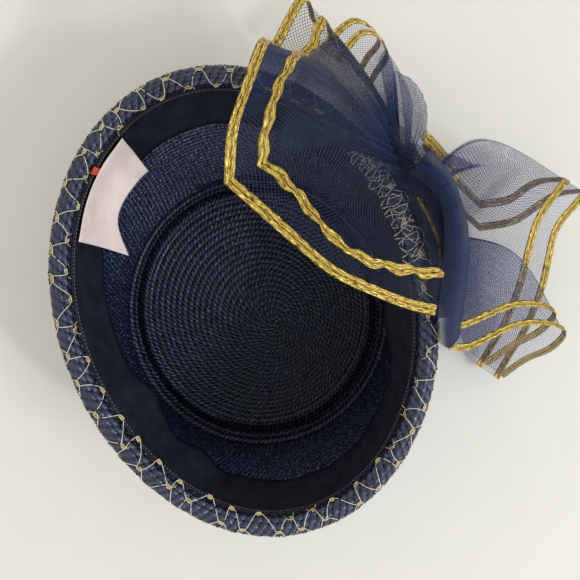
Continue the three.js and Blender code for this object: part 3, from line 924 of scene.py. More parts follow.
# Folds of the bow

ROOT_CLEAR = GAP + 0.5


def beside_rim(y, outward):
    across = (y - RIM_CENTRE_Y) / (RIM_HALF_LENGTH + outward)
    return (RIM_HALF_WIDTH + outward) * math.sqrt(1 - across**2)


def on_face(y, z):
    return (beside_rim(y, GATHERS_OUTWARD) + ROOT_CLEAR, y, z)


def on_top(y, outward=17.0):
    return (beside_rim(y, outward), y, GATHERS_HIGH_Z + ROOT_CLEAR)


def alike(rows, **shared):
    """Folds that all have the shared numbers."""
    return [dict(shared, **row) for row in rows]


FLAP_FOLDS = [
    {"edge": (77.5, -20.7, 112), "middle": (86, -5, 112), "root": on_top(2), "pleat": 0.1, "deep": 1.0},
    {"edge": (66.5, -14.5, 116), "middle": (74, 8, 117), "root": on_top(10), "spacing": 14,
     "pleat": 0.1, "deep": 1.0},
    {"edge": (51.5, -3, 122), "middle": (60, 21, 122), "root": on_top(18), "spacing": 11,
     "pleat": 0.2, "deep": 1.2},
    {"edge": (40, 7.5, 126), "middle": (52, 32, 126), "root": on_top(25), "spacing": 12.5,
     "pleat": 0.3, "deep": 1.4},
    {"edge": (27.5, 26, 130), "middle": (45, 43, 127), "root": on_top(32), "spacing": 14,
     "pleat": 0.5, "deep": 2},
    {"edge": (11, 51.5, 136), "middle": (45, 57.5, 127), "root": on_top(40), "corner": True,
     "thickens": 0.5},
    {"edge": (18, 68.5, 141), "middle": (50, 70, 129), "root": on_top(46), "thickens": 0.4, "deep": 4},
    {"edge": (27, 82, 140), "middle": (55, 80, 125), "root": on_top(51), "thickens": 0.35,
     "deep": 5, "shallow": 3.5},
    {"edge": (38, 98.5, 134), "middle": (61, 86, 116), "root": on_top(55, 15), "thickens": 0.2,
     "deep": 7, "shallow": 7},
]
FLAP_FOLDS += alike(
    [
        {"edge": (43.5, 109, 100), "middle": (66, 94, 98), "root": on_top(60, 16)},
        {"edge": (47, 114, 86), "middle": (71, 97, 89), "root": on_top(61, 20.5)},
        {"edge": (67, 135, 76), "middle": (81, 97, 84), "root": on_face(60, 92.5)},
        {"edge": (70, 128, 62), "middle": (84, 92, 70), "root": on_face(59, 86)},
    ],
    thickens=0.26,
    within=0.1,
    deep=3.5,
)

PUFF_FOLDS = alike(
    [
        {"edge": (84.6, 37.8, 106), "middle": (91.3, 42.5, 104), "root": (99.7, 47.1, 92)},
        {"edge": (90.3, 30.6, 107), "middle": (97.8, 35, 105), "root": (105.7, 34.7, 91)},
        {"edge": (93.8, 22.3, 108), "middle": (100.9, 23.2, 105.5), "root": (107.2, 19.2, 91)},
        {"edge": (90.2, 6.4, 109), "middle": (98.4, 6, 106), "root": (106, 4.6, 90)},
        {"edge": (83.8, -11.6, 108), "middle": (92.1, -13.2, 105), "root": (101.3, -10.5, 89)},
        {"edge": (78, -27.5, 104), "middle": (85.8, -28, 101), "root": (94.4, -26.2, 89)},
        {"edge": (78.6, -37.5, 98), "middle": (82.2, -40.2, 96), "root": (88.6, -37.6, 91)},
    ],
    hem=0,
    pleat=0.15,
)

TOP_FOLDS = [
    {"edge": (72, 117, 52), "middle": (86, 92, 63), "root": on_face(58, 80), "spacing": 11},
    {"edge": (83, 124.5, 50), "middle": (91, 97, 64), "root": on_face(57, 78), "spacing": 11},
    {"edge": (93, 128.5, 46), "middle": (97, 102, 62), "root": on_face(56, 76), "spacing": 11},
    {"edge": (100, 125, 42), "middle": (102, 103, 58), "root": on_face(55, 74), "spacing": 11},
    {"edge": (104, 118, 36), "middle": (104, 98, 49), "root": on_face(54, 71), "spacing": 12},
    {"edge": (97.5, 114, 29), "middle": (100, 91, 43), "root": on_face(54, 68), "spacing": 12},
    {"edge": (90, 107, 26), "middle": (94, 85, 42), "root": on_face(55, 66), "spacing": 12},
]

ROUND_FOLDS = alike(
    [
        {"edge": (98.2, 84.9, 39), "middle": (104.1, 96, 53), "root": on_face(52, 84)},
        {"edge": (103, 79, 39), "middle": (110.5, 88, 56), "root": on_face(49.5, 82.5)},
        {"edge": (105, 74, 39), "middle": (112.5, 80, 58), "root": on_face(48, 81)},
        {"edge": (105, 68, 41), "middle": (112, 70, 60), "root": on_face(46.5, 80)},
        {"edge": (104, 61, 45), "middle": (107.5, 60, 64), "root": on_face(45, 79)},
    ],
    hem=0,
    crest=2.2,
)

RIGHT_FOLDS = [
    {"edge": (103, 48, 36), "middle": (108.8, 57.4, 47), "root": on_face(42, 66), "spacing": 15},
    {"edge": (120, 26, 24), "middle": (122, 48, 46), "root": on_face(40, 66), "spacing": 15},
    {"edge": (133, 8, 18), "middle": (134, 39, 40), "root": on_face(38, 66.5), "spacing": 14,
     "corner": True},
    {"edge": (152, 6, 20), "middle": (144, 35, 40), "root": on_face(36, 67.5), "spacing": 14},
    {"edge": (176, 13, 25), "middle": (146, 37, 45), "root": on_face(35, 69)},
    {"edge": (188, 10, 33), "middle": (133, 49, 61), "root": on_face(36, 72)},
    {"edge": (181, 7.5, 42), "middle": (127, 47, 72), "root": on_face(33, 76)},
    {"edge": (163, -4.5, 44), "middle": (130, 17, 66), "root": on_face(26, 75)},
    {"edge": (155.5, -18.5, 42), "middle": (128, -1, 58), "root": on_face(18, 73)},
    {"edge": (150.5, -32.5, 35), "middle": (124, -16, 50), "root": on_face(10, 71)},
    {"edge": (139, -53, 24), "middle": (115, -33, 40), "root": on_face(0, 69)},
    {"edge": (129, -65, 17), "middle": (108, -44, 34), "root": on_face(-11, 67)},
    {"edge": (119, -76, 14), "middle": (101, -53, 30), "root": on_face(-23, 66)},
]

LOW_FOLDS = [
    {"edge": (121, -75, 19), "middle": (103, -51, 36), "root": on_face(-22, 69.5)},
    {"edge": (135, -69, 24), "middle": (116, -40, 46), "root": on_face(-12, 73)},
    {"edge": (148, -66, 29), "middle": (128, -28, 54), "root": on_face(-2, 76)},
    {"edge": (154.5, -59, 37), "middle": (131, -9, 67), "root": on_face(10, 79)},
    {"edge": (147.5, -51, 46), "middle": (126, -8, 73), "root": on_face(7, 82.5)},
    {"edge": (130, -45, 52), "middle": (116, -17, 73), "root": on_face(-2, 84)},
    {"edge": (118.5, -45, 55), "middle": (109, -23, 73), "root": on_face(-9, 84)},
    {"edge": (98, -47.5, 58), "middle": (100, -31, 70), "root": on_face(-18, 83)},
    {"edge": (89.5, -44.5, 60), "middle": (93, -36, 70), "root": on_face(-24, 82)},
]

# Smaller folds of the same ribbon, which lie under, behind and in the loops
FLAP_BACK_FOLDS = alike(
    [
        {"edge": (31.4, 56.6, 124), "middle": (53.8, 56.1, 119), "root": (80.8, 45.3, 96)},
        {"edge": (36.7, 67.3, 127), "middle": (57.7, 62.5, 121), "root": (81.7, 46.9, 96)},
        {"edge": (42.4, 78, 127), "middle": (63, 70.2, 120), "root": (82.6, 48.5, 96)},
        {"edge": (49, 87.3, 122), "middle": (68.4, 75.2, 115), "root": (83, 49.8, 96)},
        {"edge": (56.4, 95.9, 112), "middle": (74.2, 79.8, 106), "root": (84, 51.1, 95)},
        {"edge": (65.5, 103.9, 100), "middle": (78.2, 81.9, 100), "root": (84.3, 51.9, 95)},
        {"edge": (74.4, 108.9, 92), "middle": (82, 84.5, 94), "root": (84.5, 52.8, 95)},
    ],
    hem=0,
)

TOP_BACK_FOLDS = [
    {"edge": (100.6, 106.4, 40), "middle": (94.8, 83, 58), "root": (89.3, 54.1, 74)},
    {"edge": (104.3, 109, 42), "middle": (98, 82.5, 60), "root": (89.8, 53.5, 76)},
    {"edge": (107.1, 98.6, 46), "middle": (100.5, 78.1, 62), "root": (90.9, 52.9, 77)},
    {"edge": (108.1, 87.9, 50), "middle": (100.7, 72, 65), "root": (92.1, 52.4, 78)},
    {"edge": (108.1, 76.9, 52), "middle": (101.4, 65, 66), "root": (94.3, 51.4, 79)},
]

CURL_LOW_FOLDS = [
    {"edge": (85.3, 43.5, 101), "middle": (88.7, 40, 102), "root": (95, 32.5, 98)},
    {"edge": (85.6, 47.1, 103), "middle": (89.4, 42.8, 105), "root": (96.7, 32.7, 99)},
    {"edge": (89.1, 49, 104), "middle": (91.4, 42.9, 106), "root": (97.9, 30.5, 99)},
    {"edge": (93.3, 47.1, 103), "middle": (94.5, 40.4, 105), "root": (98.4, 27.6, 99)},
    {"edge": (96, 42.6, 101), "middle": (97.1, 35.5, 103), "root": (99.1, 24.4, 98)},
]

CURL_HIGH_FOLDS = [
    {"edge": (80.7, 50.9, 98), "middle": (84, 48.7, 99.5), "root": (89, 42.7, 97)},
    {"edge": (81.5, 55.5, 99), "middle": (84.8, 50.9, 101), "root": (90.1, 43.3, 97)},
    {"edge": (85.5, 58.5, 99), "middle": (86.9, 52, 101.5), "root": (92, 43.2, 97)},
    {"edge": (90, 57.4, 98), "middle": (90.3, 50.8, 100.5), "root": (93.2, 42.8, 97)},
    {"edge": (92.6, 53.2, 97), "middle": (92.4, 47.7, 99), "root": (94.5, 42.1, 96.5)},
]

PUFF_INNER_FOLDS = alike(
    [
        {"edge": (84.6, 43.1, 97), "middle": (90.6, 40, 99), "root": (99, 38.8, 97)},
        {"edge": (87.1, 33.1, 97), "middle": (93.1, 30, 99.5), "root": (100.2, 27.4, 97)},
        {"edge": (88.2, 22.7, 97), "middle": (93.9, 20.6, 99.5), "root": (101.3, 18.8, 97)},
        {"edge": (87.1, 8.2, 97), "middle": (92.9, 6.3, 99.5), "root": (99.8, 4.4, 97)},
        {"edge": (82.7, -9.8, 97), "middle": (88.1, -11.5, 99.5), "root": (94.1, -13.2, 97)},
        {"edge": (79.2, -25.5, 96), "middle": (83.1, -26.5, 98), "root": (88, -27.1, 96)},
    ],
    hem=0,
)

PUFF_VEIL_FOLDS = alike(
    [
        {"edge": (83.6, 45.3, 101), "middle": (88.3, 40.9, 103), "root": (94.3, 39.2, 102)},
        {"edge": (85, 33.1, 101), "middle": (90.7, 29.3, 103), "root": (97.4, 28.3, 102)},
        {"edge": (85.4, 23.9, 101), "middle": (90.7, 20.2, 103), "root": (97.5, 19.3, 102)},
        {"edge": (84.6, 8.7, 101), "middle": (89.7, 6.1, 103), "root": (95.2, 5.4, 102)},
        {"edge": (82.2, -7, 101), "middle": (86.1, -8.2, 102.5), "root": (91, -9.2, 101.5)},
        {"edge": (79.6, -21.8, 99), "middle": (82.3, -22.5, 100.5), "root": (85.7, -22.6, 99.5)},
    ],
    hem=0,
)

RIGHT_START_FOLDS = alike(
    [
        {"edge": (104.4, 58.8, 60), "middle": (106.9, 60.2, 60), "root": (109.4, 61.5, 60)},
        {"edge": (108.2, 53.7, 57), "middle": (110.7, 55.1, 57), "root": (113.2, 56.4, 57)},
        {"edge": (113, 48.5, 50), "middle": (115.5, 49.9, 50), "root": (118.1, 51.3, 50)},
        {"edge": (117.1, 41.4, 44), "middle": (119.7, 42.9, 44), "root": (122.3, 44.3, 44)},
        {"edge": (120.3, 34.1, 40), "middle": (122.9, 35.5, 40), "root": (125.6, 36.9, 40)},
    ],
    hem=0,
)

GLIMPSE_FOLDS = alike(
    [
        {"edge": (86.3, 27.5, 100), "middle": (88.6, 28, 97.5), "root": (90.5, 28, 95)},
        {"edge": (88.6, 16, 100.4), "middle": (91, 16, 98), "root": (93, 16, 95)},
        {"edge": (89.4, 6, 100.4), "middle": (91.8, 6, 98), "root": (94, 6, 95)},
        {"edge": (87.6, -4, 100), "middle": (90, -4, 97.5), "root": (92, -4, 95)},
    ],
    hem=0,
)

# Each loop: its folds, its pleats, how many layers of mesh it seems to have at its edge and its
# root, whether gold braid is sewn to it, and at which fold the ribbon turns over and lies double.
# The first six replace the frame's loops
LOOPS = [
    {"name": "flap", "folds": FLAP_FOLDS, "braided": True, "pleats": 17, "layers": (1.0, 3.0)},
    {"name": "puff", "folds": PUFF_FOLDS, "pleats": 7, "layers": (1.8, 9.0), "thickens": 0.1},
    {"name": "loop_top", "folds": TOP_FOLDS, "braided": True, "pleats": 9, "layers": (1.0, 3.0)},
    {"name": "loop_round", "folds": ROUND_FOLDS, "pleats": 4, "layers": (1.0, 1.9)},
    {"name": "loop_right", "folds": RIGHT_FOLDS, "braided": True, "pleats": 13, "layers": (1.0, 1.35),
     "turns_over": 5},
    {"name": "loop_low", "folds": LOW_FOLDS, "braided": True, "pleats": 11, "layers": (1.0, 1.7),
     "turns_over": 3},
    {"name": "flap_back", "folds": FLAP_BACK_FOLDS, "pleats": 9, "layers": (1.7, 4.5)},
    {"name": "top_back", "folds": TOP_BACK_FOLDS, "pleats": 5, "layers": (1.8, 3.0)},
    {"name": "curl_low", "folds": CURL_LOW_FOLDS, "pleats": 3, "layers": (2.0, 3.5)},
    {"name": "curl_high", "folds": CURL_HIGH_FOLDS, "pleats": 3, "layers": (2.0, 3.5)},
    {"name": "puff_inner", "folds": PUFF_INNER_FOLDS, "pleats": 8, "layers": (3.5, 7.0)},
    {"name": "puff_veil", "folds": PUFF_VEIL_FOLDS, "pleats": 4, "layers": (1.2, 3.5)},
]
FRAME_LOOPS = 6
LIT_LOOPS = ("loop_top", "loop_round", "loop_right", "loop_low", "top_back")
# How much brighter the ribbon's thread is where light comes through it from the floor
OVER_FLOOR = (1.05, 1.25, 2.3)
TURN_LAYERS = 2.2
SEWN_SIDE = -1
RIBBON_THICKNESS = 0.22
STEPS_PER_FOLD = 12
STEPS_ACROSS = 36

# Section of the gold braid: distance from its edge and height over the ribbon
BRAID_SECTION = [
    {"from_edge": 0.0, "high": 0.15, "ripple": 0.0},
    {"from_edge": 0.5, "high": 0.72, "ripple": 1.0},
    {"from_edge": 1.2, "high": 0.95, "ripple": 1.0},
    {"from_edge": 1.9, "high": 0.78, "ripple": 1.0},
    {"from_edge": 2.5, "high": 0.5, "ripple": 0.3},
    {"from_edge": 3.1, "high": 0.78, "ripple": -1.0},
    {"from_edge": 3.8, "high": 0.95, "ripple": -1.0},
    {"from_edge": 4.5, "high": 0.72, "ripple": -1.0},
    {"from_edge": 5.0, "high": 0.15, "ripple": 0.0},
    {"from_edge": 3.4, "high": 0.02, "ripple": 0.0},
    {"from_edge": 1.6, "high": 0.02, "ripple": 0.0},
]
BRAID_MIDDLE = 4
BRAID_RIPPLE = 0.13
BRAID_RIB = 1.15
BRAID_STEP = 0.55
EDGE_PROBES = 400
PUCKER_LENGTH = 15.0
# How wide the puckered braid is between its pinches, how much a pinch takes of that, and the part of
# the pinches that is lost between two shares of the way along the braid
PUCKER_WIDTH = 1.08
PINCH_DEPTH = 0.62
PINCH_LOST = 0.7
PINCH_LOST_FROM = 0.36
PINCH_LOST_AT = 0.42
# The short ends of braid that show between the folds
BRAID_ENDS = [
    {"name": "gold_tucked_end", "folds": GLIMPSE_FOLDS, "from_edge": 0.2},
    {"name": "gold_right_start", "folds": RIGHT_START_FOLDS, "from_edge": 0.4},
]


def pinched(share, travelled):
    """How narrow the puckered braid is at a place along it, and how far it is pushed across."""
    wave = abs(math.sin(math.pi * travelled / PUCKER_LENGTH + 0.5 * math.sin(travelled / 17)))
    strong = 1 - PINCH_LOST * smooth_step(PINCH_LOST_FROM, PINCH_LOST_AT, share)
    pinch = PUCKER_WIDTH - PINCH_DEPTH * strong * (1 - wave**0.6)
    return pinch, 0.5 * math.sin(travelled / 1.9) + 0.45 * math.sin(travelled / 4.3) * (1.2 - strong)


def braid_on(loft, distance_at, push, puckered):
    """Points, faces and corner places of a braid sewn to a sheet."""
    probe = [loft.edge.at(k / EDGE_PROBES) for k in range(EDGE_PROBES + 1)]
    length = sum((b - a).length for a, b in zip(probe, probe[1:]))
    count = int(length / BRAID_STEP) + 1
    sides = len(BRAID_SECTION)
    half = BRAID_WIDTH / 2
    points = []
    places = []
    travelled = 0.0
    for i in range(count):
        share = i / (count - 1)
        pinch, shift = pinched(share, travelled) if puckered else (1.0, 0.0)
        start = distance_at(share) + half
        distances = [start + (row["from_edge"] - half) * pinch + shift for row in BRAID_SECTION]
        shares = loft.across_at(share, np.maximum(distances, 0.0))
        for row, across in zip(BRAID_SECTION, shares):
            ripple = BRAID_RIPPLE * row["ripple"] * math.sin(TAU * travelled / BRAID_RIB)
            high = row["high"] + ripple + (0.5 * (1 - pinch) if row["high"] > 0.1 else 0.0)
            lift = push(share, across) + loft.facing * (RIBBON_THICKNESS / 2 + high)
            points.append(loft.point(share, across) + loft.normal(share, across) * lift)
        if i:
            travelled += (points[-sides + BRAID_MIDDLE] - points[-2 * sides + BRAID_MIDDLE]).length
        places.append(travelled)
    faces, corners = tube_faces(count, sides, False)
    uvs = [(places[i], BRAID_SECTION[k % sides]["from_edge"]) for i, k in corners]
    if loft.facing < 0:
        faces, uvs = turned_over(faces, uvs)
    return points, faces, uvs


def pleats_of(loop, loft):
    """How far the pleats move a sheet along its normal: nothing at the edge, most near the root."""
    count = loop["pleats"]

    def push(share, across):
        rise = smooth_step(0.35, 0.95, across) * loft.between(min(max(share, 0), 1), "pleat", 1.0)
        phase = TAU * count * share + 1.7 * math.sin(TAU * 2.3 * share + count)
        return 0.9 * rise * math.sin(phase) + 0.3 * rise * math.sin(2.6 * phase + 1.0)

    return push


def at_edge(share):
    return 0.0


def unpleated(share, across):
    return 0.0


def ribbon_places(grid, spots):
    """Where each corner of a sheet lies on the flat ribbon, in millimetres."""
    along = lengths_along(grid[:, STEPS_ACROSS // 3])
    across = np.array([lengths_along(rib) for rib in grid]).ravel()
    return [(along[spot // grid.shape[1]], across[spot]) for spot in spots]


def layers_of(loop, loft, steps_along):
    """How many layers of mesh a loop seems to have at each point of one side of its sheet."""
    low, high = loop["layers"]
    columns = np.arange(STEPS_ACROSS + 1)
    crest = np.abs(columns - STEPS_ACROSS / 2) < 0.6
    rows = []
    for i in range(steps_along + 1):
        share = i / steps_along
        shallow = loft.between(share, "shallow", low)
        deep = loft.between(share, "deep", high)
        start = loft.between(share, "thickens", loop.get("thickens", 0.4))
        within = loft.between(share, "within", 0.45)
        rise = smooth_step(start, start + within, columns / STEPS_ACROSS)
        row = shallow + (deep - shallow) * rise + loft.between(share, "crest", 0.0) * crest
        if i == STEPS_PER_FOLD * loop.get("turns_over", -1):
            row = row + TURN_LAYERS
        rows.append(row)
    return np.concatenate(rows)


class HAT_OT_bow(bpy.types.Operator):
    """Folds the loops of the bow from sheer mesh ribbon and sews on the gold braid"""

    bl_idname = "hat.bow"
    bl_label = "Mesh bow and gold braid"

    def execute(self, context):
        colours = context.scene.hat_colours
        cell = context.scene.hat_sizes.mesh_cell / MM
        mesh_look = mesh_material("sheer_mesh", colours.mesh, cell)
        # The loops over the floor get a paler copy of the mesh colour, painted light.
        lit_mesh_look = mesh_material("lit_mesh", tinted(colours.mesh, OVER_FLOOR), cell)
        gold = gold_material("gold_braid", colours.gold)
        for number, loop in enumerate(LOOPS):
            name = loop["name"]
            loft = Loft(loop["folds"], SEWN_SIDE)
            push = pleats_of(loop, loft)
            along = STEPS_PER_FOLD * (len(loop["folds"]) - 1)
            points, faces, spots, grid = sheet_mesh(loft, along, STEPS_ACROSS, RIBBON_THICKNESS, push)
            layers = layers_of(loop, loft, along)
            one = np.ones(len(layers))
            values = {"layers": np.concatenate([layers, layers]), "weave": np.concatenate([one, -one])}
            look = lit_mesh_look if name in LIT_LOOPS else mesh_look
            uvs = ribbon_places(grid, spots)
            piece = object_from(f"mesh_{name}", points, faces, look, uvs, values)
            nodes = [f"bow_{name}"] if number < FRAME_LOOPS else []
            place(piece, "navy_mesh", *nodes)
            strips = [("edge", at_edge, False), ("inner", loft.spacing, name == "flap")]
            for where, distance_at, puckered in strips if loop.get("braided") else []:
                points, faces, uvs = braid_on(loft, distance_at, push, puckered)
                braid = object_from(f"gold_{name}_{where}", points, faces, gold, uvs)
                place(braid, "gold_braid", f"braid_{name}_{where}")
        for end in BRAID_ENDS:
            strip = Loft(end["folds"], SEWN_SIDE)
            points, faces, uvs = braid_on(strip, lambda share: end["from_edge"], unpleated, False)
            place(object_from(end["name"], points, faces, gold, uvs), "gold_braid")
        return {"FINISHED"}


# Heading of the bow

HEADING_STEPS = 150
HEADING_LENGTH = 95.0
HEADING_MIDDLE_Z = 79
HEADING_LAYERS = 7.0
HEADING_INNER = 2 * ROLL_HALF_WIDTH + 1.0 + 3 * GAP
HEADING_BESIDE_WALL = STRAW_THICKNESS + 1.0 + 3 * GAP
HEADING_MIDDLE = (HEADING_INNER + GATHERS_OUTWARD) / 2
# Outward distance and height round the heading, and the depth of the pleats there
HEADING_SECTION = [
    {"outward": HEADING_BESIDE_WALL, "z": 71.3, "pleat": 0.12},
    {"outward": HEADING_BESIDE_WALL, "z": 66.5, "pleat": 0.12},
    {"outward": HEADING_BESIDE_WALL + 2, "z": GATHERS_LOW_Z, "pleat": 0.12},
    {"outward": GATHERS_OUTWARD - 6, "z": GATHERS_LOW_Z, "pleat": 0.45},
    {"outward": GATHERS_OUTWARD - 2, "z": GATHERS_LOW_Z + 1, "pleat": 0.45},
    {"outward": GATHERS_OUTWARD, "z": GATHERS_LOW_Z + 4, "pleat": 0.45},
    {"outward": GATHERS_OUTWARD, "z": 72, "pleat": 0.45},
    {"outward": GATHERS_OUTWARD, "z": 79, "pleat": 0.45},
    {"outward": GATHERS_OUTWARD, "z": 86, "pleat": 0.45},
    {"outward": GATHERS_OUTWARD - 0.5, "z": GATHERS_HIGH_Z - 3, "pleat": 0.45},
    {"outward": GATHERS_OUTWARD - 2.5, "z": GATHERS_HIGH_Z - 0.6, "pleat": 0.12},
    {"outward": GATHERS_OUTWARD - 6, "z": GATHERS_HIGH_Z, "pleat": 0.12},
    {"outward": HEADING_INNER + 2, "z": GATHERS_HIGH_Z, "pleat": 0.12},
    {"outward": HEADING_INNER, "z": GATHERS_HIGH_Z - 1.5, "pleat": 0.12},
    {"outward": HEADING_INNER, "z": 85, "pleat": 0.12},
    {"outward": HEADING_INNER - 1, "z": 80, "pleat": 0.12},
]


class HAT_OT_heading(bpy.types.Operator):
    """Bunches the heading of the bow into pleats beside the rolled edge"""

    bl_idname = "hat.heading"
    bl_label = "Gathered heading"

    def execute(self, context):
        colour = context.scene.hat_colours.mesh
        points = []
        for i in range(HEADING_STEPS + 1):
            share = i / HEADING_STEPS
            degrees = GATHERS_FROM_DEGREES + (GATHERS_TO_DEGREES - GATHERS_FROM_DEGREES) * share
            wave = math.sin(TAU * 21 * share + 1.4 * math.sin(TAU * 3.1 * share))
            close = min(1.0, 8 * min(share, 1 - share) + 0.25)
            for row in HEADING_SECTION:
                beside = (row["outward"] - HEADING_MIDDLE) * (0.6 + 0.4 * close)
                above = (row["z"] - HEADING_MIDDLE_Z) * (0.75 + 0.25 * close)
                outward = HEADING_MIDDLE + beside + row["pleat"] * wave
                height = HEADING_MIDDLE_Z + above
                points.append(wall_point(row["z"], math.radians(degrees), outward, height))
        faces, corners = tube_faces(HEADING_STEPS + 1, len(HEADING_SECTION), False)
        uvs = [(i / HEADING_STEPS * HEADING_LENGTH, k * 5.0) for i, k in corners]
        faces, uvs = turned_over(faces, uvs)
        look = mesh_material("bunched_mesh", colour, context.scene.hat_sizes.mesh_cell / MM)
        values = {"layers": [HEADING_LAYERS] * len(points), "weave": [1.0] * len(points)}
        heading = object_from("mesh_heading", points, faces, look, uvs, values)
        place(heading, "navy_mesh", "bow_gathers")
        return {"FINISHED"}


# Label

LABEL_FOLDS = [
    {"degrees": 115.5, "top_z": 91, "free_degrees": 115.4, "free_inward": 12, "free_z": 71},
    {"degrees": 128, "top_z": 91, "free_degrees": 124, "free_inward": 11.5, "free_z": 73},
    {"degrees": 139, "top_z": 91, "free_degrees": 137, "free_inward": 11, "free_z": 73},
    {"degrees": 150.5, "top_z": 91, "free_degrees": 148.5, "free_inward": 18, "free_z": 66},
]
LABEL_MIDDLE_UP = 0.45
LABEL_MIDDLE_INWARD = 0.42
LABEL_LENGTH = 50
LABEL_WIDTH = 27
LABEL_THICKNESS = 0.35
LABEL_STEPS_ALONG = 60
LABEL_STEPS_ACROSS = 30
# The red stitch: its strands side by side, each a path down the label and inward from the band
RED_SEED = 3
RED_STRANDS = 7
RED_FROM_DEGREES = 128.2
RED_STRAND_DEGREES = 0.32
RED_PATH = [
    {"down": -0.05, "inside": 0.1},
    {"down": 0.0, "inside": 1.5},
    {"down": 0.05, "inside": 1.9},
    {"down": 0.1, "inside": 1.6},
    {"down": 0.13, "inside": 0.8},
]


def label_loft():
    rows = []
    for fold in LABEL_FOLDS:
        top = math.radians(fold["degrees"])
        free = math.radians(fold["free_degrees"])
        stands_off, low_z = band_fold(top)
        down = (BAND_TOP_Z - fold["top_z"]) / (BAND_TOP_Z - low_z)
        root_inward = 3 * GAP + BAND_THICKNESS + 0.5 + stands_off * down
        middle_z = fold["free_z"] + (fold["top_z"] - fold["free_z"]) * LABEL_MIDDLE_UP
        middle_inward = fold["free_inward"] * LABEL_MIDDLE_INWARD + 1.0
        row = {
            "edge": wall_point(fold["free_z"], free, -fold["free_inward"]),
            "middle": wall_point(middle_z, (top + free) / 2, -middle_inward),
            "root": wall_point(fold["top_z"], top, -root_inward),
            "hem": 0,
        }
        rows.append(row)
    return Loft(rows)


def label_waves(share, across):
    free = 1 - across
    return 0.45 * free * math.sin(7.5 * share + 1.2) + 0.2 * free * math.sin(17 * share)


class HAT_OT_label(bpy.types.Operator):
    """Sews the plain satin label to the band"""

    bl_idname = "hat.label"
    bl_label = "Satin label"

    def execute(self, context):
        look = satin_material(context.scene.hat_colours.satin)
        along, across = LABEL_STEPS_ALONG, LABEL_STEPS_ACROSS
        points, faces, spots, grid = sheet_mesh(
            label_loft(), along, across, LABEL_THICKNESS, label_waves
        )
        corners = [divmod(spot, across + 1) for spot in spots]
        uvs = [(row * LABEL_LENGTH / along, column * LABEL_WIDTH / across) for row, column in corners]
        label = object_from("satin_label", points, faces, look, uvs)
        place(label, "white_satin", "label")

        random.seed(RED_SEED)
        parts = []
        for k in range(RED_STRANDS):
            angle = math.radians(RED_FROM_DEGREES + RED_STRAND_DEGREES * k)
            lean = math.radians(random.uniform(-0.8, 0.8))
            path = []
            for spot in RED_PATH:
                leaning = angle + lean * spot["down"] * 9
                path.append(Vector(band_point(leaning, spot["down"], spot["inside"])))
            parts.append(thread_tube(path, 0.3, 6))
        points, faces, uvs = join_parts(parts)
        red = thread_material("red_stitch", (0.6, 0.07, 0.02))
        place(object_from("red_stitch", points, faces, red, uvs), "white_satin")
        return {"FINISHED"}


# Net

EDGE_LENGTH = 560.0
NET_PROUD = 0.75
NET_FIRST_ROW = 4.6
# How much higher the rows after the first lie all round
NET_RAISED = 1.8
# How far above the first row knots and threads still show
KNOTS_ABOVE = 4.4
THREADS_ABOVE = 4
# How far the knots are scattered: along as a share of a cell, and down in millimetres
SCATTER_ALONG = 0.17
SCATTER_DOWN = 1.4
# A knot's half length, which is no more than a share of the cell, and the places of its wraps in it
KNOT_HALF_LENGTH = 1.25
KNOT_HALF_SHARE = 0.11
KNOT_WRAPS = (-0.72, -0.25, 0.22, 0.68)
# How far the middles of threads, knots and wraps stand off the net
THREAD_PROUD = 0.15
KNOT_PROUD = 0.2
WRAP_PROUD = 0.5
# The denser strips under the front loop: where they lie along the edge, how far down they reach and
# how much narrower and flatter their cells are
NET_STRIPS = [
    {"from": -4, "to": 52, "narrow": 0.34, "flat": 0.55},
    {"from": -2, "to": 50, "narrow": 0.8, "flat": 0.4},
]
NET_STRIP_DOWN = 13
NET_STRIP_SLIP = 1.8

# How far down the net has slipped at each angle round the edge
NET_SLIPS = [
    {"degrees": 0, "down": 4.9},
    {"degrees": 30, "down": 4.0},
    {"degrees": 65, "down": 0.6},
    {"degrees": 110, "down": 0.0},
    {"degrees": 150, "down": 0.5},
    {"degrees": 185, "down": 0.0},
    {"degrees": 205, "down": -1.8},
    {"degrees": 228, "down": -2.8},
    {"degrees": 250, "down": -0.4},
    {"degrees": 285, "down": 0.4},
    {"degrees": 312, "down": 0.4},
    {"degrees": 328, "down": 3.4},
    {"degrees": 360, "down": 4.9},
]


def net_section():
    """Outward distance and height of the net, from the band's top over the edge and down the wall."""
    rows = [(-3.8, 92.4), (-1.6, 93.3)]
    for degrees in range(150, -70, -8):
        turn = math.radians(degrees)
        outward = ROLL_OUTWARD + (ROLL_HALF_WIDTH + NET_PROUD) * math.cos(turn)
        rows.append((outward, ROLL_Z + (ROLL_HALF_HEIGHT + NET_PROUD) * math.sin(turn)))
    rows += [(3.6, 80.5), (2.75, 74.0), (2.65, 50.0), (2.65, 15.0)]
    rows = np.array(rows)
    return rows, lengths_along(rows)


NET_ROWS, NET_AT = net_section()
NET_END = NET_AT[-1]


def slipped(along):
    degrees = (360 * along / EDGE_LENGTH) % 360
    return np.interp(degrees, [row["degrees"] for row in NET_SLIPS], [row["down"] for row in NET_SLIPS])


def strip_slip(along):
    return NET_STRIP_SLIP


def net_point(along, down, proud=0.0):
    down = min(max(down, 0.0), NET_END)
    outward = np.interp(down, NET_AT, NET_ROWS[:, 0])
    height = np.interp(down, NET_AT, NET_ROWS[:, 1])
    angle = TAU * along / EDGE_LENGTH
    return Vector(wall_point(min(height, CROWN_TOP_Z), angle, outward + proud, height))


def net_thread_path(start, end, bow, steps=7):
    """A slightly bowed thread from one knot's end to another's."""
    path = []
    for k in range(steps + 1):
        share = k / steps
        bulge = math.sin(math.pi * share)
        along = start[0] + (end[0] - start[0]) * share**0.8 + bulge * bow
        down = start[1] + (end[1] - start[1]) * share
        path.append(net_point(along, down, THREAD_PROUD * bulge))
    return path


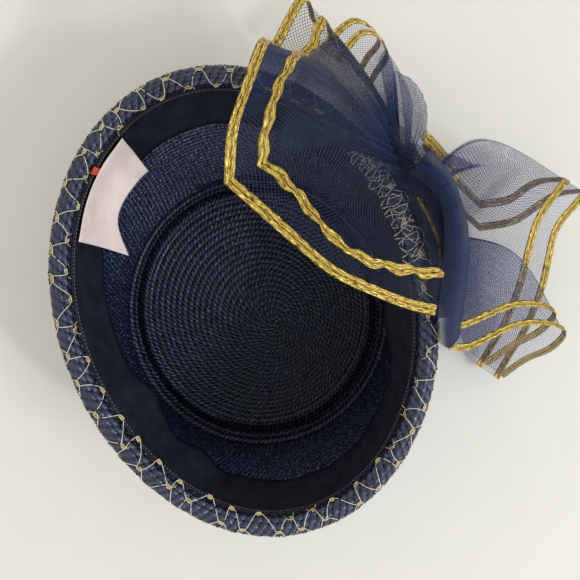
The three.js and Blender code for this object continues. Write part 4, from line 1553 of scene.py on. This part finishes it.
def knot_threads(along, down, half, radius):
    """A knot: two threads side by side, wrapped across a few times."""
    slope = random.uniform(-0.25, 0.25)
    spread = random.uniform(0.6, 0.8)

    def spot(beside, across, proud):
        return net_point(along + beside * half, down + slope * beside + across * spread, proud)

    parts = []
    for side in (-1, 1):
        path = []
        for beside in (-1, -0.6, 0, 0.6, 1):
            path.append(spot(beside, side * (0.5 + 0.5 * (1 - beside**4)), KNOT_PROUD))
        parts.append(thread_tube(path, radius * 1.2, 4))
    for middle in KNOT_WRAPS:
        lean = random.uniform(-0.2, 0.2)
        path = []
        for end in (-1, 0, 1):
            path.append(spot(middle + end * lean, end * 1.1, WRAP_PROUD - 0.35 * end * end))
        parts.append(thread_tube(path, radius * 1.25, 4))
    return parts


def net_patch(first, last, cell, row_gap, slip_at, high, around, radius):
    """Threads and knots of a net between two places along the edge, down to a place on the wall."""
    low = NET_FIRST_ROW
    columns = round((last - first) / cell)
    cell = (last - first) / columns
    rows = int((high - low) / row_gap) + 2
    half = min(KNOT_HALF_LENGTH, cell * KNOT_HALF_SHARE)
    knots = {}
    for row in range(-1, rows):
        for column in range(columns):
            stagger = first + (column + 0.5 * (row % 2)) * cell
            along = stagger + random.uniform(-1, 1) * cell * SCATTER_ALONG
            down = low + row * row_gap + slip_at(along) + random.uniform(-SCATTER_DOWN, SCATTER_DOWN)
            if around and row > 0:
                down -= NET_RAISED
            knots[row, column] = (along, down)
    threads = []
    wraps = []
    for (row, column), (along, down) in knots.items():
        if low - KNOTS_ABOVE < down < high:
            wraps.extend(knot_threads(along, down, half, radius))
        if low < down < low + row_gap * 0.6:
            for side in (-1, 1):
                reach = random.uniform(1.0, 2.8)
                end = (along + side * (half + random.uniform(0.2, 2.0)), max(down - reach, 0.2))
                path = net_thread_path((along + side * half, down), end, side * 0.1, 3)
                wraps.append(thread_tube(path, radius * 0.8, 4))
        ahead = column + row % 2
        for side, other in ((1, ahead), (-1, ahead - 1)):
            if around:
                other %= columns
            if (row + 1, other) not in knots:
                continue
            to_along, to_down = knots[row + 1, other]
            gap = to_along - along
            if around:
                gap = (gap + EDGE_LENGTH / 2) % EDGE_LENGTH - EDGE_LENGTH / 2
            start = (along + side * half, down)
            end = (along + gap - side * half, to_down)
            if not low - THREADS_ABOVE <= start[1] <= high:
                continue
            if end[1] > high:
                share = (high - start[1]) / (end[1] - start[1])
                end = (start[0] + (end[0] - start[0]) * share, high)
            bow = random.uniform(-0.8, 1.0) * side
            threads.append(thread_tube(net_thread_path(start, end, bow), radius, 5))
    return threads, wraps


class HAT_OT_net(bpy.types.Operator):
    """Lays the gold net over the rolled edge and the outer wall"""

    bl_idname = "hat.net"
    bl_label = "Net veiling"

    def execute(self, context):
        sizes = context.scene.hat_sizes
        colours = context.scene.hat_colours
        random.seed(sizes.net_seed)
        cell, gap, radius = [size / MM for size in (sizes.net_cell, sizes.net_row, sizes.net_thread)]
        threads, wraps = net_patch(0, EDGE_LENGTH, cell, gap, slipped, NET_END, True, radius)
        for strip in NET_STRIPS:
            narrow, flat = cell * strip["narrow"], gap * strip["flat"]
            threads += net_patch(
                strip["from"], strip["to"], narrow, flat, strip_slip, NET_STRIP_DOWN, False, radius
            )[0]
        for name, parts, look in (
            ("net_threads", threads, thread_material("net_thread", colours.net)),
            ("net_knots", wraps, thread_material("net_knot", colours.knot)),
        ):
            points, faces, uvs = join_parts(parts)
            place(object_from(name, points, faces, look, uvs), "gold_thread", "veil")
        return {"FINISHED"}


# Stage: positions and sizes in metres

FLOOR_SIZE = 3.0
LAMPS = [
    {"name": "window", "at": (1.07, -0.84, 1.32), "size": 0.35, "power": 8.5, "colour": (0.86, 0.95, 1.0)},
    {"name": "glint", "at": (0.95, -1.05, 1.42), "size": 0.1, "power": 8.5, "colour": (0.9, 0.95, 1.0)},
]
CAMERA_AT = (0.0215, 0.0046, 0.395)
CAMERA_TURN_DEGREES = -16.5
SENSOR_WIDTH = 36.0
# Focal length in pixels and width of the photograph, which together give the angle of view
FOCAL_PIXELS = 674.0
PHOTO_PIXELS = 580.0
# The side that the room's light comes from, and the place overhead where the one looking down shades it
BRIGHT_SIDE = (0.56, -0.6, 0.57)
SHADED_SIDE = Vector((-0.15, 0.16, 1.0)).normalized()


def room_light():
    world = bpy.data.worlds.new("soft_room")
    world.use_nodes = True
    tree = Tree(world.node_tree)
    direction = tree.add("TexCoord", "Generated", {})
    lit = tree.facing(direction, BRIGHT_SIDE)
    shaded = tree.facing(direction, SHADED_SIDE)
    look = {
        "Color": tree.shades(lit, (0.0, (0.74, 0.71, 0.63)), (1.0, (0.8, 0.81, 0.82))),
        "Strength": tree.spread(shaded, 0.9, 0.98, 1.33, 0.1, "SMOOTHSTEP"),
    }
    tree.fill(tree.nodes["Background"], look)
    return world


class HAT_OT_stage(bpy.types.Operator):
    """Sets the floor, the soft light and the camera straight above the hat"""

    bl_idname = "hat.stage"
    bl_label = "Stage"

    def execute(self, context):
        scene = context.scene
        bpy.ops.object.select_all(action="DESELECT")
        bpy.ops.mesh.primitive_plane_add(size=FLOOR_SIZE, location=(0, 0, 0))
        floor = context.object
        floor.name = "floor"
        floor.data.materials.append(floor_material(scene.hat_colours.floor))
        scene.world = room_light()
        for lamp in LAMPS:
            light = bpy.data.lights.new(lamp["name"], "AREA")
            light.size = lamp["size"]
            light.energy = lamp["power"]
            light.color = lamp["colour"]
            holder = bpy.data.objects.new(lamp["name"], light)
            holder.location = lamp["at"]
            holder.rotation_euler = (-Vector(lamp["at"])).to_track_quat("-Z", "Y").to_euler()
            scene.collection.objects.link(holder)
        camera_data = bpy.data.cameras.new("camera")
        camera_data.sensor_width = SENSOR_WIDTH
        camera_data.lens = SENSOR_WIDTH * FOCAL_PIXELS / PHOTO_PIXELS
        camera_data.clip_start = 0.01
        camera = bpy.data.objects.new("camera", camera_data)
        camera.location = CAMERA_AT
        camera.rotation_euler = Euler((0.0, 0.0, math.radians(CAMERA_TURN_DEGREES)))
        scene.collection.objects.link(camera)
        scene.camera = camera
        scene.view_settings.view_transform = "Standard"
        return {"FINISHED"}


class HAT_PT_panel(bpy.types.Panel):
    """Lists the pieces of the hat"""

    bl_label = "Straw hat"
    bl_idname = "HAT_PT_panel"
    bl_space_type = "VIEW_3D"
    bl_region_type = "UI"
    bl_category = "Hat"

    def draw(self, context):
        layout = self.layout
        for group in (context.scene.hat_sizes, context.scene.hat_colours):
            box = layout.box()
            for key in type(group).__annotations__:
                box.prop(group, key)
        for operator in OPERATORS:
            layout.operator(operator.bl_idname)


OPERATORS = (
    HAT_OT_crown,
    HAT_OT_edge,
    HAT_OT_band,
    HAT_OT_label,
    HAT_OT_net,
    HAT_OT_heading,
    HAT_OT_bow,
    HAT_OT_stage,
)
CLASSES = (HatSizes, HatColours, *OPERATORS, HAT_PT_panel)


def register():
    for item in CLASSES:
        bpy.utils.register_class(item)
    bpy.types.Scene.hat_sizes = PointerProperty(type=HatSizes)
    bpy.types.Scene.hat_colours = PointerProperty(type=HatColours)


def unregister():
    del bpy.types.Scene.hat_colours
    del bpy.types.Scene.hat_sizes
    for item in reversed(CLASSES):
        bpy.utils.unregister_class(item)


def main():
    register()
    bpy.ops.hat.crown()
    bpy.ops.hat.edge()
    bpy.ops.hat.band()
    bpy.ops.hat.label()
    bpy.ops.hat.net()
    bpy.ops.hat.heading()
    bpy.ops.hat.bow()
    bpy.ops.hat.stage()


if __name__ == "__main__":
    main()
